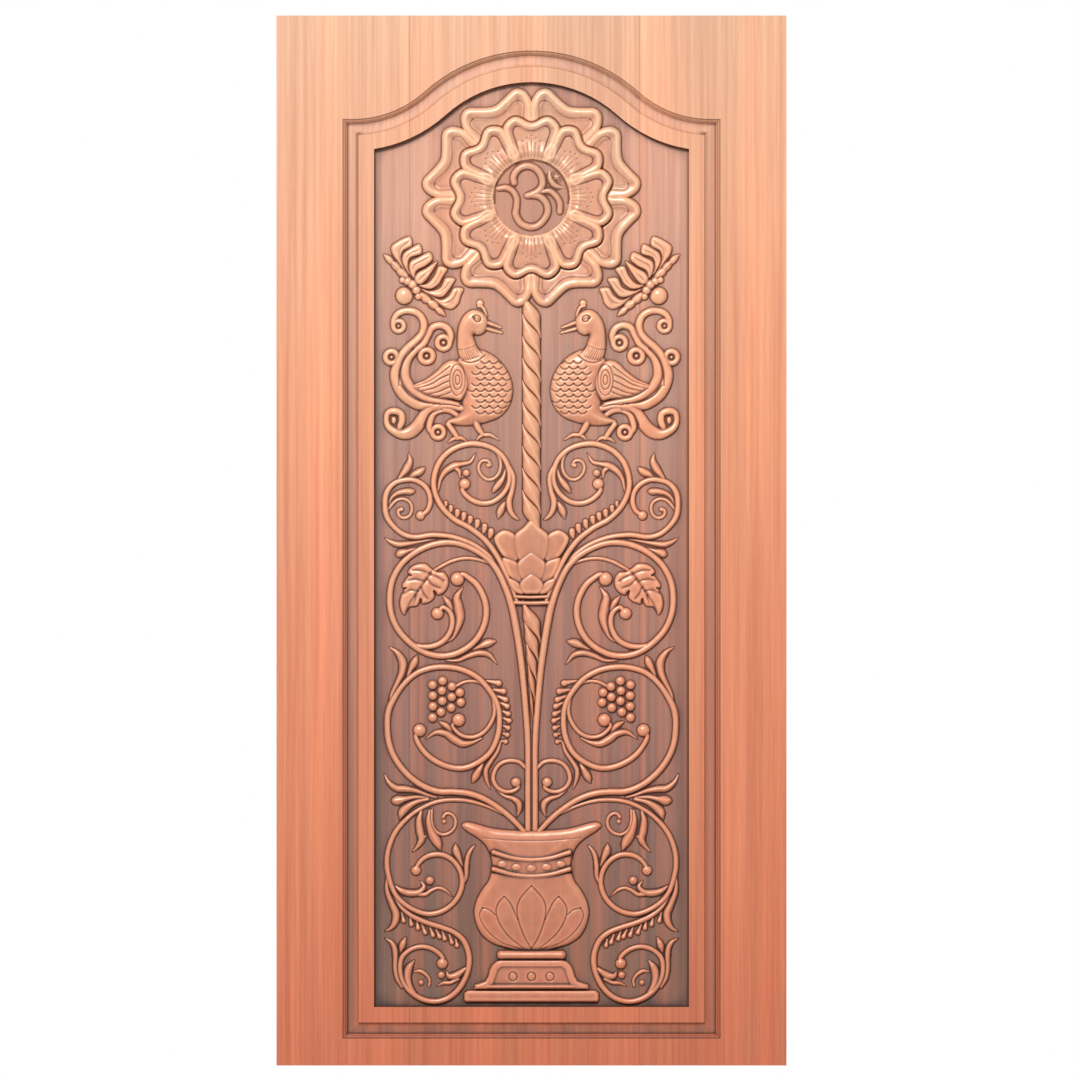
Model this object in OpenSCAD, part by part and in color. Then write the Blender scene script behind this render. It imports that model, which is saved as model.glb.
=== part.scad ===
// Carved temple door leaf: three edge-glued boards with an arched, moulded and sunk panel,
// carrying a relief of a vase, scrolling vines, two peacocks, lotus sprays and a rosette.
// Origin at the bottom centre of the leaf, front towards -Y, height along +Z, millimetres.

/* [Leaf] */
// Width of the leaf
leaf_w = 1020; // [920:1:1150]
// Height of the leaf
leaf_h = 2100; // [1900:1:2300]
// Thickness of the boards
leaf_t = 45; // [38:0.5:60]
// Distance of the left glue line from the centre line
left_joint = 244; // [230:1:300]
// Distance of the right glue line from the centre line
right_joint = 216; // [216:1:300]

/* [Arched opening] */
// Flat border between the leaf's long edge and the moulding
side_border = 132; // [100:1:160]
// Flat border under the moulding
foot_border = 54; // [40:1:90]
// Flat border over the top of the arch
head_border = 70; // [50:1:110]
// Rise of the arch above its shoulders
arch_rise = 137; // [100:1:160]
// Radius of the round middle of the arch, at the moulding's outer edge
crown_r = 320; // [280:1:360]
// Radius of the hollow flanks of the arch, at the moulding's outer edge
flank_r = 213; // [180:1:240]

/* [Moulding] */
// Width of the outer bead
bead_w = 10; // [6:0.5:14]
// Small step at the outer edge of the bead
bead_step = 1.5; // [0.5:0.1:3]
// Width of the hollow beside the bead
hollow_w = 22; // [14:0.5:28]
// Depth of the hollow below the face
hollow_depth = 9; // [6:0.5:12]
// Width of the flat fillet beside the ground
fillet_w = 31; // [20:0.5:40]
// Drop of the fillet below the face
fillet_drop = 2; // [0.5:0.1:4]
// Small step at the outer edge of the fillet
fillet_step = 1.5; // [0.5:0.1:2]
// Depth of the sunk ground below the face
ground_depth = 18; // [18:0.5:22]

/* [Carving heights above the ground] */
// Height of the rosette
rosette_h = 17.5; // [10:0.5:18]
// Height of the peacocks
peacock_h = 15; // [9:0.5:18]
// Height of the lotus sprays
lotus_h = 13; // [8:0.5:18]
// Height of the vines
vine_h = 11; // [7:0.5:16]
// Height of the vine leaves
leaf_blade_h = 9; // [6:0.5:14]
// Height of the lotus calyx
calyx_h = 14; // [9:0.5:18]
// Height of the twisted stem
stem_h = 13; // [8:0.5:18]
// Height of the vase
vase_h = 16; // [10:0.5:18]
// Radius of a grape
grape_r = 9.4; // [7:0.1:9.5]

/* [Hidden] */
$fn = 96;

// Timber colours: the sawn boards and the polished carving
board_colour = "#d78d6c";
carving_colour = "#c98263";

// Overlap that lets a cut run past a face
over = 1;

// Arched opening: the outline at the moulding's outer edge
half_open = leaf_w / 2 - side_border;
open_top = leaf_h - head_border;
shoulder_z = open_top - arch_rise;
crown_z = open_top - crown_r;
flank_z = shoulder_z + flank_r;
arch_turn = acos(1 - arch_rise / (crown_r + flank_r));
flank_x = (crown_r + flank_r) * sin(arch_turn);

// Insets from the outline to the fillet and to the ground
fillet_in = bead_w + hollow_w;
ground_in = fillet_in + fillet_w;
face_y = -leaf_t / 2;
ground_y = face_y + ground_depth;

// The pattern is drawn for a ground of this half width, from this height to this height,
// and is stretched to the leaf's own ground
pattern_half = 315;
pattern_foot = 117;
pattern_head = 1967;
ground_foot = foot_border + ground_in;
stretch_x = (half_open - ground_in) / pattern_half;
stretch_z = (open_top - ground_in - ground_foot) / (pattern_head - pattern_foot);
stretch = min(stretch_x, stretch_z);

function on_leaf(p) = [p[0] * stretch_x, ground_foot + (p[1] - pattern_foot) * stretch_z];

// Lays a shape drawn on the X-Z plane against the front face or against the sunk ground
module on_face() translate([0, face_y, 0]) rotate([90, 0, 0]) children();
module on_ground() translate([0, ground_y, 0]) rotate([90, 0, 0]) children();

// Brings a finished motif to its full height above the ground
module to_height(h) resize([0, 0, h]) children();

// Left or right copy of a motif drawn for the right side
module side(left) mirror([left ? 1 : 0, 0, 0]) children();

// Boards and moulding

// The opening's outline, moved inwards
module opening(inset) {
    half = half_open - inset;
    foot = foot_border + inset;
    top_r = crown_r - inset;
    bend_r = flank_r + inset;
    meet_x = top_r * sin(arch_turn);
    meet_z = crown_z + top_r * cos(arch_turn);
    difference() {
        translate([-half, foot]) square([2 * half, meet_z - foot]);
        for (s = [-1, 1]) {
            translate([s * flank_x, flank_z]) circle(bend_r);
            translate([s > 0 ? flank_x : -flank_x - leaf_w, shoulder_z - inset]) square([leaf_w, leaf_h]);
        }
    }
    intersection() {
        translate([0, crown_z]) circle(top_r);
        translate([-meet_x, meet_z]) square([2 * meet_x, top_r]);
    }
}

// Section of the moulding's cut: a quarter-round bead, then a hollow that rises to the fillet
arc_steps = 5;
function moulding_section() = concat(
    [[0, over]],
    [for (i = [0:arc_steps]) let(a = 90 * i / arc_steps)
        [bead_w * sin(a), -bead_step - (hollow_depth - bead_step) * (1 - cos(a))]],
    [for (i = [1:arc_steps]) let(a = 90 * i / arc_steps)
        [bead_w + hollow_w * sin(a), -hollow_depth + (hollow_depth - fillet_drop - fillet_step) * (1 - cos(a))]],
    [[fillet_in, over]]);

// The section turned about a centre of the arch, growing outwards or inwards from a radius
module turned_moulding(radius, way, from, angle)
    rotate(from) rotate_extrude(angle = angle)
        polygon([for (p = moulding_section()) [radius + way * p[0], p[1]]]);

// The section run along +X, with its inside towards +Y
module straight_moulding(length)
    rotate([90, 0, 90]) linear_extrude(length) polygon(moulding_section());

// Prism over an outline, through the depth of the moulding
module through_moulding(outline)
    translate([0, 0, -hollow_depth - over]) linear_extrude(hollow_depth + 3 * over) polygon(outline);

module crown_moulding()
    translate([0, crown_z, 0]) turned_moulding(crown_r, -1, 90 - arch_turn, 2 * arch_turn);

// The part of the plane that the arch's moulding keeps at its right corner, above the mitre
module above_mitre() {
    wide = half_open + over;
    near = half_open - fillet_in - over;
    low = shoulder_z - fillet_in - over;
    high = open_top + over;
    through_moulding([[0, low], [near, low], [wide, shoulder_z + over], [wide, high], [0, high]]);
}

module flank_moulding()
    intersection() {
        translate([flank_x, flank_z, 0]) turned_moulding(flank_r, 1, 270 - arch_turn, arch_turn);
        above_mitre();
    }

module shoulder_moulding() {
    wide = half_open + over;
    if (half_open > flank_x)
        intersection() {
            translate([wide, shoulder_z, 0]) rotate(180) straight_moulding(wide - flank_x);
            above_mitre();
        }
}

module side_moulding() {
    wide = half_open + over;
    near = half_open - fillet_in - over;
    foot = foot_border - over;
    intersection() {
        translate([half_open, foot, 0]) rotate(90) straight_moulding(shoulder_z - foot + over);
        through_moulding([[wide, foot], [wide, shoulder_z + over],
            [near, shoulder_z - fillet_in - over], [near, foot_border + fillet_in + over]]);
    }
}

module foot_moulding() {
    wide = half_open + over;
    near = half_open - fillet_in - over;
    intersection() {
        translate([-wide, foot_border, 0]) straight_moulding(2 * wide);
        through_moulding([[-wide, foot_border - over], [wide, foot_border - over],
            [near, foot_border + fillet_in + over], [-near, foot_border + fillet_in + over]]);
    }
}

// Both sides of the opening, from the cut drawn for the right side
module both_sides()
    for (s = [0, 1]) on_face() mirror([s, 0, 0]) children();

// One board between two places on X, with its share of the sunk panel.
// Cuts that meet face to face are made one after another.
module board(from, to)
    color(board_colour)
    difference() {
        difference() {
            difference() {
                difference() {
                    translate([from, face_y, 0]) cube([to - from, leaf_t, leaf_h]);
                    both_sides() flank_moulding();
                }
                on_face() crown_moulding();
            }
            both_sides() shoulder_moulding();
            both_sides() side_moulding();
        }
        on_face() foot_moulding();
        on_face() translate([0, 0, -fillet_drop]) linear_extrude(fillet_drop + over) opening(fillet_in - over);
        on_face() translate([0, 0, -ground_depth]) linear_extrude(ground_depth + over) opening(ground_in);
    }

module hinge_board() board(-leaf_w / 2, -left_joint);
module centre_board() board(-left_joint, right_joint);
module lock_board() board(right_joint, leaf_w / 2);

// Forms of the carving, drawn flat: X from the centre line, Y up the leaf, Z above the ground

// Height of a plain strand for each millimetre of its width
strand_rise = 0.8;

// A closed skin over rings of points, from the outline on the ground to one peak
module skin(rings, peak) {
    n = len(rings[0]);
    last = (len(rings) - 1) * n;
    polyhedron(concat([for (ring = rings) each ring], [peak]), concat(
        [[for (i = [0:n - 1]) i]],
        [for (l = [0:len(rings) - 2]) for (i = [0:n - 1])
            let(a = l * n + i, b = l * n + (i + 1) % n)
            each [[a, a + n, b + n], [a, b + n, b]]],
        [for (i = [0:n - 1]) [last + i, len(rings) * n, last + (i + 1) % n]]));
}

// Twice the area inside an outline, positive where it runs anticlockwise
function turning(outline, i = 0) = i == len(outline) ? 0 :
    let(a = outline[i], b = outline[(i + 1) % len(outline)])
    a[0] * b[1] - a[1] * b[0] + turning(outline, i + 1);

// A cushion over an outline: an upright wall, a rounded shoulder where it rises enough, and a peak
least_shoulder = 4;
module boss(outline, peak, h, wall = 0) {
    ordered = turning(outline) > 0 ? outline : [for (i = [len(outline) - 1:-1:0]) outline[i]];
    base = [for (p = ordered) on_leaf(p)];
    top = on_leaf(peak);
    shoulder = 0.35;
    shoulder_h = wall + 0.8 * (h - wall);
    levels = concat([[0, 0]], wall > 0 ? [[0, wall]] : [], h - wall > least_shoulder ? [[shoulder, shoulder_h]] : []);
    skin([for (l = levels) [for (p = base) concat(p + l[0] * (top - p), [l[1]])]], concat(top, [h]));
}

// A round knob at the end of a strand
knob_sides = 6;
module knob(p, r, h, wall = 0)
    boss([for (i = [0:knob_sides - 1]) let(a = 360 * i / knob_sides)
        [p[0] + r * cos(a), p[1] + r * sin(a)]], p, h, wall);

// Outline of a petal from its base to its tip
function petal(base, tip, w) = let(
    d = tip - base,
    across = [-d[1], d[0]] / norm(d) * w / 2)
    [base - 0.3 * across, base + 0.4 * d - 0.85 * across, base + 0.8 * d - across * 0.95, tip,
        base + 0.8 * d + across * 0.95, base + 0.4 * d + 0.85 * across, base + 0.3 * across];

// Direction of a path at one of its points
function along(path, i) = let(
    a = path[max(i - 1, 0)],
    b = path[min(i + 1, len(path) - 1)],
    d = [b[0] - a[0], b[1] - a[1]]) d / norm(d);

// A strand along a path of points, each given as distance from the centre line, height on the leaf,
// width and, where it isn't plain, height above the ground. Its back has so many flats.
module strand(points, flats = 3) {
    path = [for (p = points) concat(on_leaf(p),
        [p[2] * stretch, is_undef(p[3]) ? strand_rise * p[2] * stretch : p[3]])];
    m = flats + 1;
    end = (len(path) - 1) * m;
    verts = [for (i = [0:len(path) - 1]) let(t = along(path, i), p = path[i])
        for (k = [0:flats]) let(a = 180 * k / flats, off = p[2] / 2 * cos(a))
            [p[0] - off * t[1], p[1] + off * t[0], p[3] * sin(a)]];
    polyhedron(verts, concat(
        [[for (k = [0:flats]) k]],
        [for (i = [0:len(path) - 2]) for (k = [0:flats])
            let(a = i * m + k, b = i * m + (k + 1) % m)
            each [[a, a + m, b + m], [a, b + m, b]]],
        [[for (k = [flats:-1:0]) end + k]]));
}

// Half a ball lying on the ground
module berry(p, r) {
    at = on_leaf(p);
    translate([at[0], at[1], 0]) intersection() {
        sphere(r);
        translate([-r, -r, 0]) cube(2 * r);
    }
}

// Rosette: two rings of eight lobed petals round a sunk disc

rosette_at = [0, 1736];
// Turns from a petal's axis at which its edge is drawn, over one of the eight petals
petal_turns = [0, 7, 12.5, 22.5, 32.5, 38];
rosette_turns = [for (i = [0:7]) each [for (t = petal_turns) 45 * i + t]];

// Radius of a petal ring at an angle from a petal's axis: a dip, a lobe on each side and a notch
function lobed(turn, dip, lobe, notch, lobe_turn) = let(t = abs((turn + 22.5) % 45 - 22.5))
    t < lobe_turn ? lobe - (lobe - dip) * (1 + cos(180 * t / lobe_turn)) / 2
    : lobe - (lobe - notch) * (1 - cos(180 * (t - lobe_turn) / (22.5 - lobe_turn))) / 2;
function outer_petals(turn) = lobed(turn + 22.5, 198, 221, 194, 13.5);
function inner_petals(turn) = lobed(turn, 152, 164, 144, 11.5);

module rosette() {
    at = on_leaf(rosette_at);
    disc_r = 76;
    disc_h = 8;
    // Each ring: which edge it follows, how far inside that edge, height above the ground
    profile = [["outer", 0, 0], ["outer", 2, 9], ["outer", 11, 12.5], ["outer", 22, 8.5], ["inner", -2, 6],
        ["inner", 1, 14], ["inner", 8, 17], ["inner", 16, 12], ["disc", -7, 13.5], ["disc", 0, disc_h]];
    function edge(name, turn) = name == "outer" ? outer_petals(turn) : name == "inner" ? inner_petals(turn) : disc_r;
    color(carving_colour) on_ground() to_height(rosette_h)
        skin([for (ring = profile) [for (turn = rosette_turns)
            let(r = stretch * (edge(ring[0], turn) - ring[1]))
            [at[0] + r * cos(turn), at[1] + r * sin(turn), ring[2]]]], [at[0], at[1], disc_h]);
}

// Lotus sprays beside the rosette

lotus_foot = [231, 1557];
lotus_tips = [[243, 1655], [224, 1641], [202, 1626], [188, 1608], [167, 1595], [152, 1572], [136, 1553]];
lotus_petal_w = 24;
lotus_bud = [256, 1539];

module lotus_spray() {
    middle = (len(lotus_tips) - 1) / 2;
    for (i = [0:len(lotus_tips) - 1]) {
        back = abs(i - middle);
        h = 13 - 1.5 * back;
        outline = petal(lotus_foot, lotus_tips[i], lotus_petal_w);
        boss(outline, lotus_foot + 0.6 * (lotus_tips[i] - lotus_foot), h);
    }
    knob([238, 1555], 20, 12);
    strand([[240, 1568, 14], [260, 1592, 18], [294, 1621, 3]], 2);
    strand([[226, 1550, 14], [206, 1528, 18], [173, 1501, 3]], 2);
    knob(lotus_bud, 18, 12);
}

module left_lotus_spray() color(carving_colour) side(true) on_ground() to_height(lotus_h) lotus_spray();
module right_lotus_spray() color(carving_colour) side(false) on_ground() to_height(lotus_h) lotus_spray();

// Peacocks

peacock_body = [[104, 1431], [77, 1421], [51, 1395], [38, 1359], [42, 1324], [66, 1296], [108, 1282], [153, 1281],
    [170, 1287], [153, 1299], [142, 1330], [146, 1405], [135, 1429]];
peacock_wing = [[238, 1359], [212, 1372], [190, 1389], [176, 1403], [162, 1410], [147, 1409], [136, 1400], [126, 1380],
    [126, 1352], [142, 1330], [181, 1334], [204, 1338], [224, 1347]];
peacock_neck = [[112, 1490, 30, 12], [126, 1480, 34, 12], [133, 1463, 33, 12], [131, 1445, 38, 13], [125, 1427, 48, 13],
    [111, 1395, 60, 9]];
// Tail feathers from the body to the curl, with the eye that each curl closes on
tail_w = 16;
tail_feathers = [
    [[[207, 1319], [240, 1327], [264, 1349], [277, 1383], [268, 1413], [229, 1451], [215, 1478], [222, 1501],
        [243, 1511], [266, 1505], [275, 1488]], [262, 1484]],
    [[[153, 1323], [204, 1328], [233, 1343], [250, 1378], [246, 1411], [215, 1443], [205, 1471], [183, 1483],
        [163, 1471], [160, 1451]], [174, 1448]],
    [[[227, 1433], [208, 1438], [192, 1427], [195, 1407], [211, 1401]], [211, 1420]],
    [[[267, 1427], [282, 1434], [297, 1421], [293, 1403], [280, 1398]], [280, 1417]],
    [[[145, 1316], [193, 1316], [213, 1301], [226, 1279], [248, 1263], [277, 1269], [291, 1293], [278, 1313],
        [257, 1305]], [266, 1288]],
    [[[150, 1304], [181, 1313], [201, 1298], [203, 1265], [184, 1251], [169, 1265]], [185, 1271]]];
peacock_legs = [[[164, 1278, 8], [147, 1257, 5], [131, 1252, 2]], [[150, 1259, 5], [167, 1251, 2]],
    [[114, 1285, 8], [98, 1264, 5], [85, 1260, 4], [65, 1253, 2]], [[101, 1266, 5], [108, 1253, 2]]];

module peacock() {
    for (feather = tail_feathers) {
        strand([for (p = feather[0]) concat(p, [tail_w * (len(feather[0]) > 8 ? 1 : 0.7), 9])], 2);
        if (len(feather[0]) > 5) knob(feather[1], 9, 9);
    }
    boss(peacock_body, [85, 1352], 15, 4);
    boss(peacock_wing, [150, 1372], 14, 9);
    strand(peacock_neck);
    knob([108, 1488], 24, 14, 4);
    strand([[94, 1489, 10], [61, 1476, 3]], 2);
    strand([[94, 1478, 10], [60, 1466, 3]], 2);
    strand([[96, 1508, 6], [101, 1524, 5]], 2);
    knob([102, 1526], 7, 6);
    for (leg = peacock_legs) strand(leg, 2);
}

module left_peacock() color(carving_colour) side(true) on_ground() to_height(peacock_h) peacock();
module right_peacock() color(carving_colour) side(false) on_ground() to_height(peacock_h) peacock();

// Twisted stem and lotus calyx

twist_pitch = 44;
twist_from = 1500;
twist_turns = 10;
// The lower twist narrows, turn by turn, between the two stems that close on it
lower_pitch = 41;
lower_from = 888;
lower_shares = [1, 0.74, 0.55, 0.38, 0.22];
twist_path = [[-12, 19, 20, 6], [-4, 7, 32, 12], [4, -7, 32, 12], [12, -19, 20, 6]];

// One turn of the twist, sloping down from left to right, narrowed by a share of its width
module twist_turn(z, share)
    strand([for (p = twist_path) [p[0] * share, z + p[1], p[2] * share, p[3] * share]]);

module upper_stem()
    color(carving_colour) on_ground() to_height(stem_h)
        difference() {
            for (i = [0:twist_turns - 1]) twist_turn(twist_from - i * twist_pitch, i == 0 ? 0.9 : 1);
            translate([0, 0, -over]) linear_extrude(2 * ground_depth)
                polygon([for (p = both(calyx_top)) on_leaf([p[0] * 1.04, p[1] + 1])]);
        }

module lower_stem()
    color(carving_colour) on_ground() to_height(stem_h)
        for (i = [0:len(lower_shares) - 1]) twist_turn(lower_from - i * lower_pitch, lower_shares[i]);

// An outline that is the same on both sides of the centre line
function both(half) = concat(half, [for (i = [len(half) - 1:-1:0]) if (half[i][0] != 0) [-half[i][0], half[i][1]]]);

calyx_top = [[0, 1091], [18, 1076], [34, 1061], [36, 1040], [27, 1011]];
calyx_middle = [[0, 1028], [15, 1020], [29, 1005], [28, 985], [18, 966]];
calyx_foot = [[0, 986], [14, 978], [25, 965], [24, 950], [16, 942]];
calyx_top_side = [[30, 1058], [42, 1068], [57, 1071], [75, 1056], [68, 1034], [50, 1012], [27, 1008]];
calyx_middle_side = [[25, 1004], [40, 1012], [54, 1012], [50, 990], [38, 970], [18, 964]];
calyx_foot_side = [[21, 963], [34, 971], [46, 973], [42, 956], [30, 944], [16, 942]];
collar_half = 32;

module lotus_calyx()
    color(carving_colour) on_ground() to_height(calyx_h) {
        boss(both(calyx_top), [0, 1055], 9, 6);
        boss(both(calyx_middle), [0, 1000], 12, 9);
        boss(both(calyx_foot), [0, 966], 14, 11);
        for (s = [0, 1]) mirror([s, 0, 0]) {
            boss(calyx_top_side, [52, 1045], 8, 5);
            boss(calyx_middle_side, [38, 994], 10.5, 7.5);
            boss(calyx_foot_side, [32, 959], 12.5, 9.5);
        }
        for (z = [939, 927]) strand([[-collar_half, z, 9, 10], [collar_half, z, 9, 10]]);
    }

// Vines: one side, drawn for the right

// Round strands that carry the vine
vine_scrolls = [
    // Scroll under the peacock
    [[65, 1017, 11], [91, 1049, 11], [123, 1075, 11], [155, 1093, 11], [180, 1118, 11], [194, 1151, 11],
        [191, 1191, 11], [165, 1228, 11], [121, 1244, 11], [78, 1235, 10], [50, 1205, 10], [44, 1172, 10],
        [57, 1142, 10], [90, 1124, 10], [124, 1134, 10], [138, 1151, 9]],
    // Small outer scroll
    [[79, 1013, 10], [107, 1036, 10], [133, 1049, 10], [165, 1059, 10], [200, 1061, 10], [238, 1057, 10],
        [265, 1068, 10], [287, 1094, 11], [293, 1126, 11], [280, 1160, 10], [247, 1173, 10], [216, 1161, 10],
        [203, 1135, 10], [209, 1109, 9]],
    // Main stem from the vase, closing on the circle round the vine leaf
    [[7, 474, 12], [7, 641, 12], [13, 731, 12], [21, 811, 13], [31, 877, 14], [43, 931, 14], [61, 977, 14],
        [87, 1013, 12], [121, 1035, 12], [160, 1046, 12], [200, 1041, 12], [239, 1021, 12], [268, 991, 12],
        [283, 951, 12], [281, 907, 12], [264, 868, 12], [234, 838, 12], [197, 821, 12], [158, 822, 12],
        [122, 840, 12], [97, 875, 12], [91, 916, 12], [108, 959, 12], [139, 982, 10]],
    // Circle round the grapes
    [[18, 477, 10], [43, 497, 11], [71, 519, 11], [104, 537, 12], [144, 547, 12], [187, 548, 12], [222, 562, 12],
        [257, 592, 12], [281, 633, 12], [288, 677, 12], [281, 723, 12], [258, 760, 11], [225, 787, 11],
        [182, 798, 11], [140, 792, 11], [103, 772, 11], [76, 739, 11], [64, 698, 11], [69, 655, 11], [93, 616, 11],
        [129, 597, 11], [168, 598, 11], [208, 620, 10], [231, 659, 9]],
    // Scroll beside the vase
    [[53, 501, 5], [96, 521, 6], [137, 531, 7], [181, 529, 8], [223, 513, 8], [257, 486, 9], [281, 449, 10],
        [289, 405, 10], [282, 364, 10], [262, 329, 10], [228, 308, 10], [190, 305, 10], [158, 323, 10],
        [139, 360, 10], [148, 399, 10], [177, 421, 10], [208, 419, 9], [228, 400, 8]],
    // Lowest scroll
    [[275, 337, 5], [259, 315, 8], [235, 297, 10], [196, 281, 10], [155, 266, 10], [132, 242, 11], [124, 207, 11],
        [133, 173, 11], [159, 140, 11], [195, 127, 11], [232, 140, 11], [257, 170, 10], [261, 208, 10],
        [239, 233, 9], [208, 236, 9], [178, 215, 9]]];

// Thin strands: curls, side stems and hooks
vine_tendrils = [
    // Scroll under the peacock
    [[63, 1225, 4], [47, 1201, 8], [37, 1177, 10], [39, 1151, 10], [45, 1127, 12], [41, 1107, 10], [26, 1092, 1]],
    [[85, 1239, 5], [69, 1225, 6], [62, 1205, 6], [67, 1181, 6], [85, 1172, 6], [103, 1185, 6], [105, 1203, 6],
        [93, 1211, 6]],
    [[155, 1197, 8], [145, 1189, 8], [143, 1175, 2]],
    // Small outer scroll
    [[287, 1111, 4], [276, 1126, 6], [256, 1133, 6], [241, 1120, 6], [243, 1101, 6], [258, 1095, 6], [267, 1105, 6],
        [259, 1113, 6]],
    // Circle round the vine leaf
    [[79, 1001, 5], [103, 1011, 6], [131, 1015, 6], [160, 1009, 6], [192, 992, 5]],
    [[245, 847, 5], [223, 838, 10], [197, 839, 11], [173, 852, 11], [159, 877, 11], [163, 905, 10], [177, 916, 9]],
    // Circle round the grapes
    [[91, 759, 5], [111, 768, 6], [131, 768, 6], [146, 764, 6]],
    [[89, 757, 5], [77, 733, 7], [75, 703, 8], [88, 673, 8], [115, 657, 8], [143, 662, 8], [158, 681, 7]],
    // Small scroll over the vase
    [[11, 595, 8], [25, 607, 8], [49, 609, 8], [71, 594, 8], [75, 567, 8], [57, 549, 8], [37, 548, 8], [26, 557, 7]],
    // Scroll beside the vase
    [[199, 511, 4], [200, 487, 6], [189, 466, 6], [167, 464, 6], [153, 480, 6], [157, 500, 6], [175, 500, 7]],
    [[227, 343, 8], [213, 342, 8], [199, 351, 7], [178, 353, 6], [159, 339, 1]],
    // Lowest scroll
    [[147, 173, 7], [163, 166, 7], [189, 159, 1]],
    [[235, 188, 3], [223, 189, 7], [209, 180, 7], [205, 159, 4]]];

// Ridged leaves and buds
vine_blades = [
    // Scroll under the peacock
    [[51, 1197, 3], [56, 1177, 8], [65, 1163, 13], [78, 1145, 2]],
    [[187, 1149, 4], [182, 1173, 8], [169, 1191, 13], [147, 1201, 13], [123, 1207, 7], [112, 1224, 1]],
    [[51, 1129, 3], [61, 1111, 14], [67, 1094, 2]],
    // Small outer scroll
    [[286, 1121, 3], [271, 1143, 9], [246, 1148, 12], [233, 1149, 2]],
    [[269, 1169, 4], [250, 1193, 15], [243, 1209, 11], [245, 1224, 1]],
    [[242, 1174, 6], [227, 1186, 14], [213, 1196, 2]],
    [[293, 1055, 1], [281, 1047, 8], [264, 1042, 12], [239, 1045, 8], [183, 1053, 3]],
    [[268, 1019, 4], [262, 1024, 16], [247, 1029, 9], [225, 1036, 3]],
    // Circle round the vine leaf
    [[158, 855, 4], [149, 873, 12], [144, 903, 18], [149, 937, 13], [137, 957, 1]],
    [[157, 909, 4], [166, 925, 12], [177, 938, 2]],
    [[119, 833, 3], [87, 845, 16], [74, 848, 6]],
    [[171, 812, 3], [147, 811, 7], [127, 819, 10], [103, 825, 12], [85, 821, 10], [69, 803, 1]],
    // Circle round the grapes
    [[285, 837, 1], [269, 826, 10], [258, 807, 16], [260, 783, 14], [276, 749, 9], [285, 721, 4]],
    [[249, 773, 4], [236, 803, 14], [229, 818, 2]],
    [[99, 659, 3], [119, 648, 8], [137, 644, 14], [163, 659, 15], [191, 666, 9], [211, 653, 1]],
    [[159, 669, 4], [170, 679, 12], [183, 687, 3]],
    [[62, 647, 5], [69, 627, 8], [90, 593, 10], [90, 573, 8], [83, 553, 1]],
    [[95, 607, 3], [109, 584, 14], [118, 565, 2]],
    // Small scroll over the vase
    [[69, 551, 3], [53, 539, 7], [37, 534, 10], [25, 520, 13], [28, 498, 1]],
    // Scroll beside the vase
    [[294, 583, 1], [286, 567, 8], [271, 555, 13], [245, 552, 12], [189, 536, 3]],
    [[278, 530, 6], [269, 530, 18], [253, 533, 12], [207, 536, 4]],
    [[263, 493, 3], [258, 507, 16], [244, 520, 14], [207, 532, 6]],
    [[220, 511, 5], [225, 491, 12], [222, 461, 15], [227, 439, 8], [238, 428, 2]],
    [[204, 512, 4], [205, 481, 13], [190, 449, 18], [181, 431, 2]],
    [[137, 359, 4], [131, 379, 9], [129, 409, 10], [122, 430, 7], [113, 441, 1]],
    [[138, 395, 4], [149, 426, 14], [152, 444, 2]],
    [[273, 357, 4], [256, 348, 13], [230, 346, 13], [215, 358, 8], [222, 369, 2]],
    // Lowest scroll
    [[290, 375, 5], [286, 340, 11], [271, 303, 15], [275, 283, 12], [293, 268, 1]],
    [[293, 254, 1], [281, 247, 8], [273, 228, 11], [271, 185, 10], [259, 157, 6]],
    [[260, 225, 4], [258, 241, 13], [251, 257, 2]],
    [[127, 199, 5], [145, 184, 13], [164, 179, 11], [170, 188, 2]],
    [[227, 139, 4], [246, 163, 15], [246, 193, 14], [234, 211, 2]]];

// Knobs that close the strands: distance, height and radius
vine_knobs = [[134, 1163, 11], [222, 1100, 9], [148, 974, 14], [188, 904, 12], [224, 668, 13], [146, 691, 13],
    [31, 567, 10], [231, 390, 10], [179, 205, 11]];

module vine() {
    for (path = vine_scrolls) strand(path, 3);
    for (path = vine_tendrils) strand(path, 2);
    for (path = vine_blades) strand(path, 2);
    for (k = vine_knobs) knob(k, k[2], 0.85 * k[2]);
}

module left_vine() color(carving_colour) side(true) on_ground() to_height(vine_h) vine();
module right_vine() color(carving_colour) side(false) on_ground() to_height(vine_h) vine();

vine_leaf_outline = [[201, 985], [188, 988], [176, 987], [167, 977], [165, 965], [169, 952], [178, 944], [188, 941],
    [192, 946], [194, 936], [202, 927], [219, 923], [221, 929], [229, 919], [243, 916], [254, 901], [260, 907],
    [264, 923], [261, 940], [256, 950], [259, 960], [252, 973], [245, 982], [247, 987], [239, 999], [225, 1004],
    [210, 1003], [200, 995]];

module vine_leaf() boss(vine_leaf_outline, [216, 962], 9);

module left_vine_leaf() color(carving_colour) side(true) on_ground() to_height(leaf_blade_h) vine_leaf();
module right_vine_leaf() color(carving_colour) side(false) on_ground() to_height(leaf_blade_h) vine_leaf();

// Grapes in four staggered columns: the height of each column's first grape and its count
grape_columns = [[761, 4], [769, 4], [757, 3], [744, 2]];
grape_from = 199;
grape_across = 19;
grape_down = 21;

module grapes()
    for (i = [0:len(grape_columns) - 1]) for (j = [0:grape_columns[i][1] - 1])
        berry([grape_from - i * grape_across, grape_columns[i][0] - j * grape_down], grape_r * stretch);

module left_grapes() color(carving_colour) side(true) on_ground() grapes();
module right_grapes() color(carving_colour) side(false) on_ground() grapes();

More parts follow.
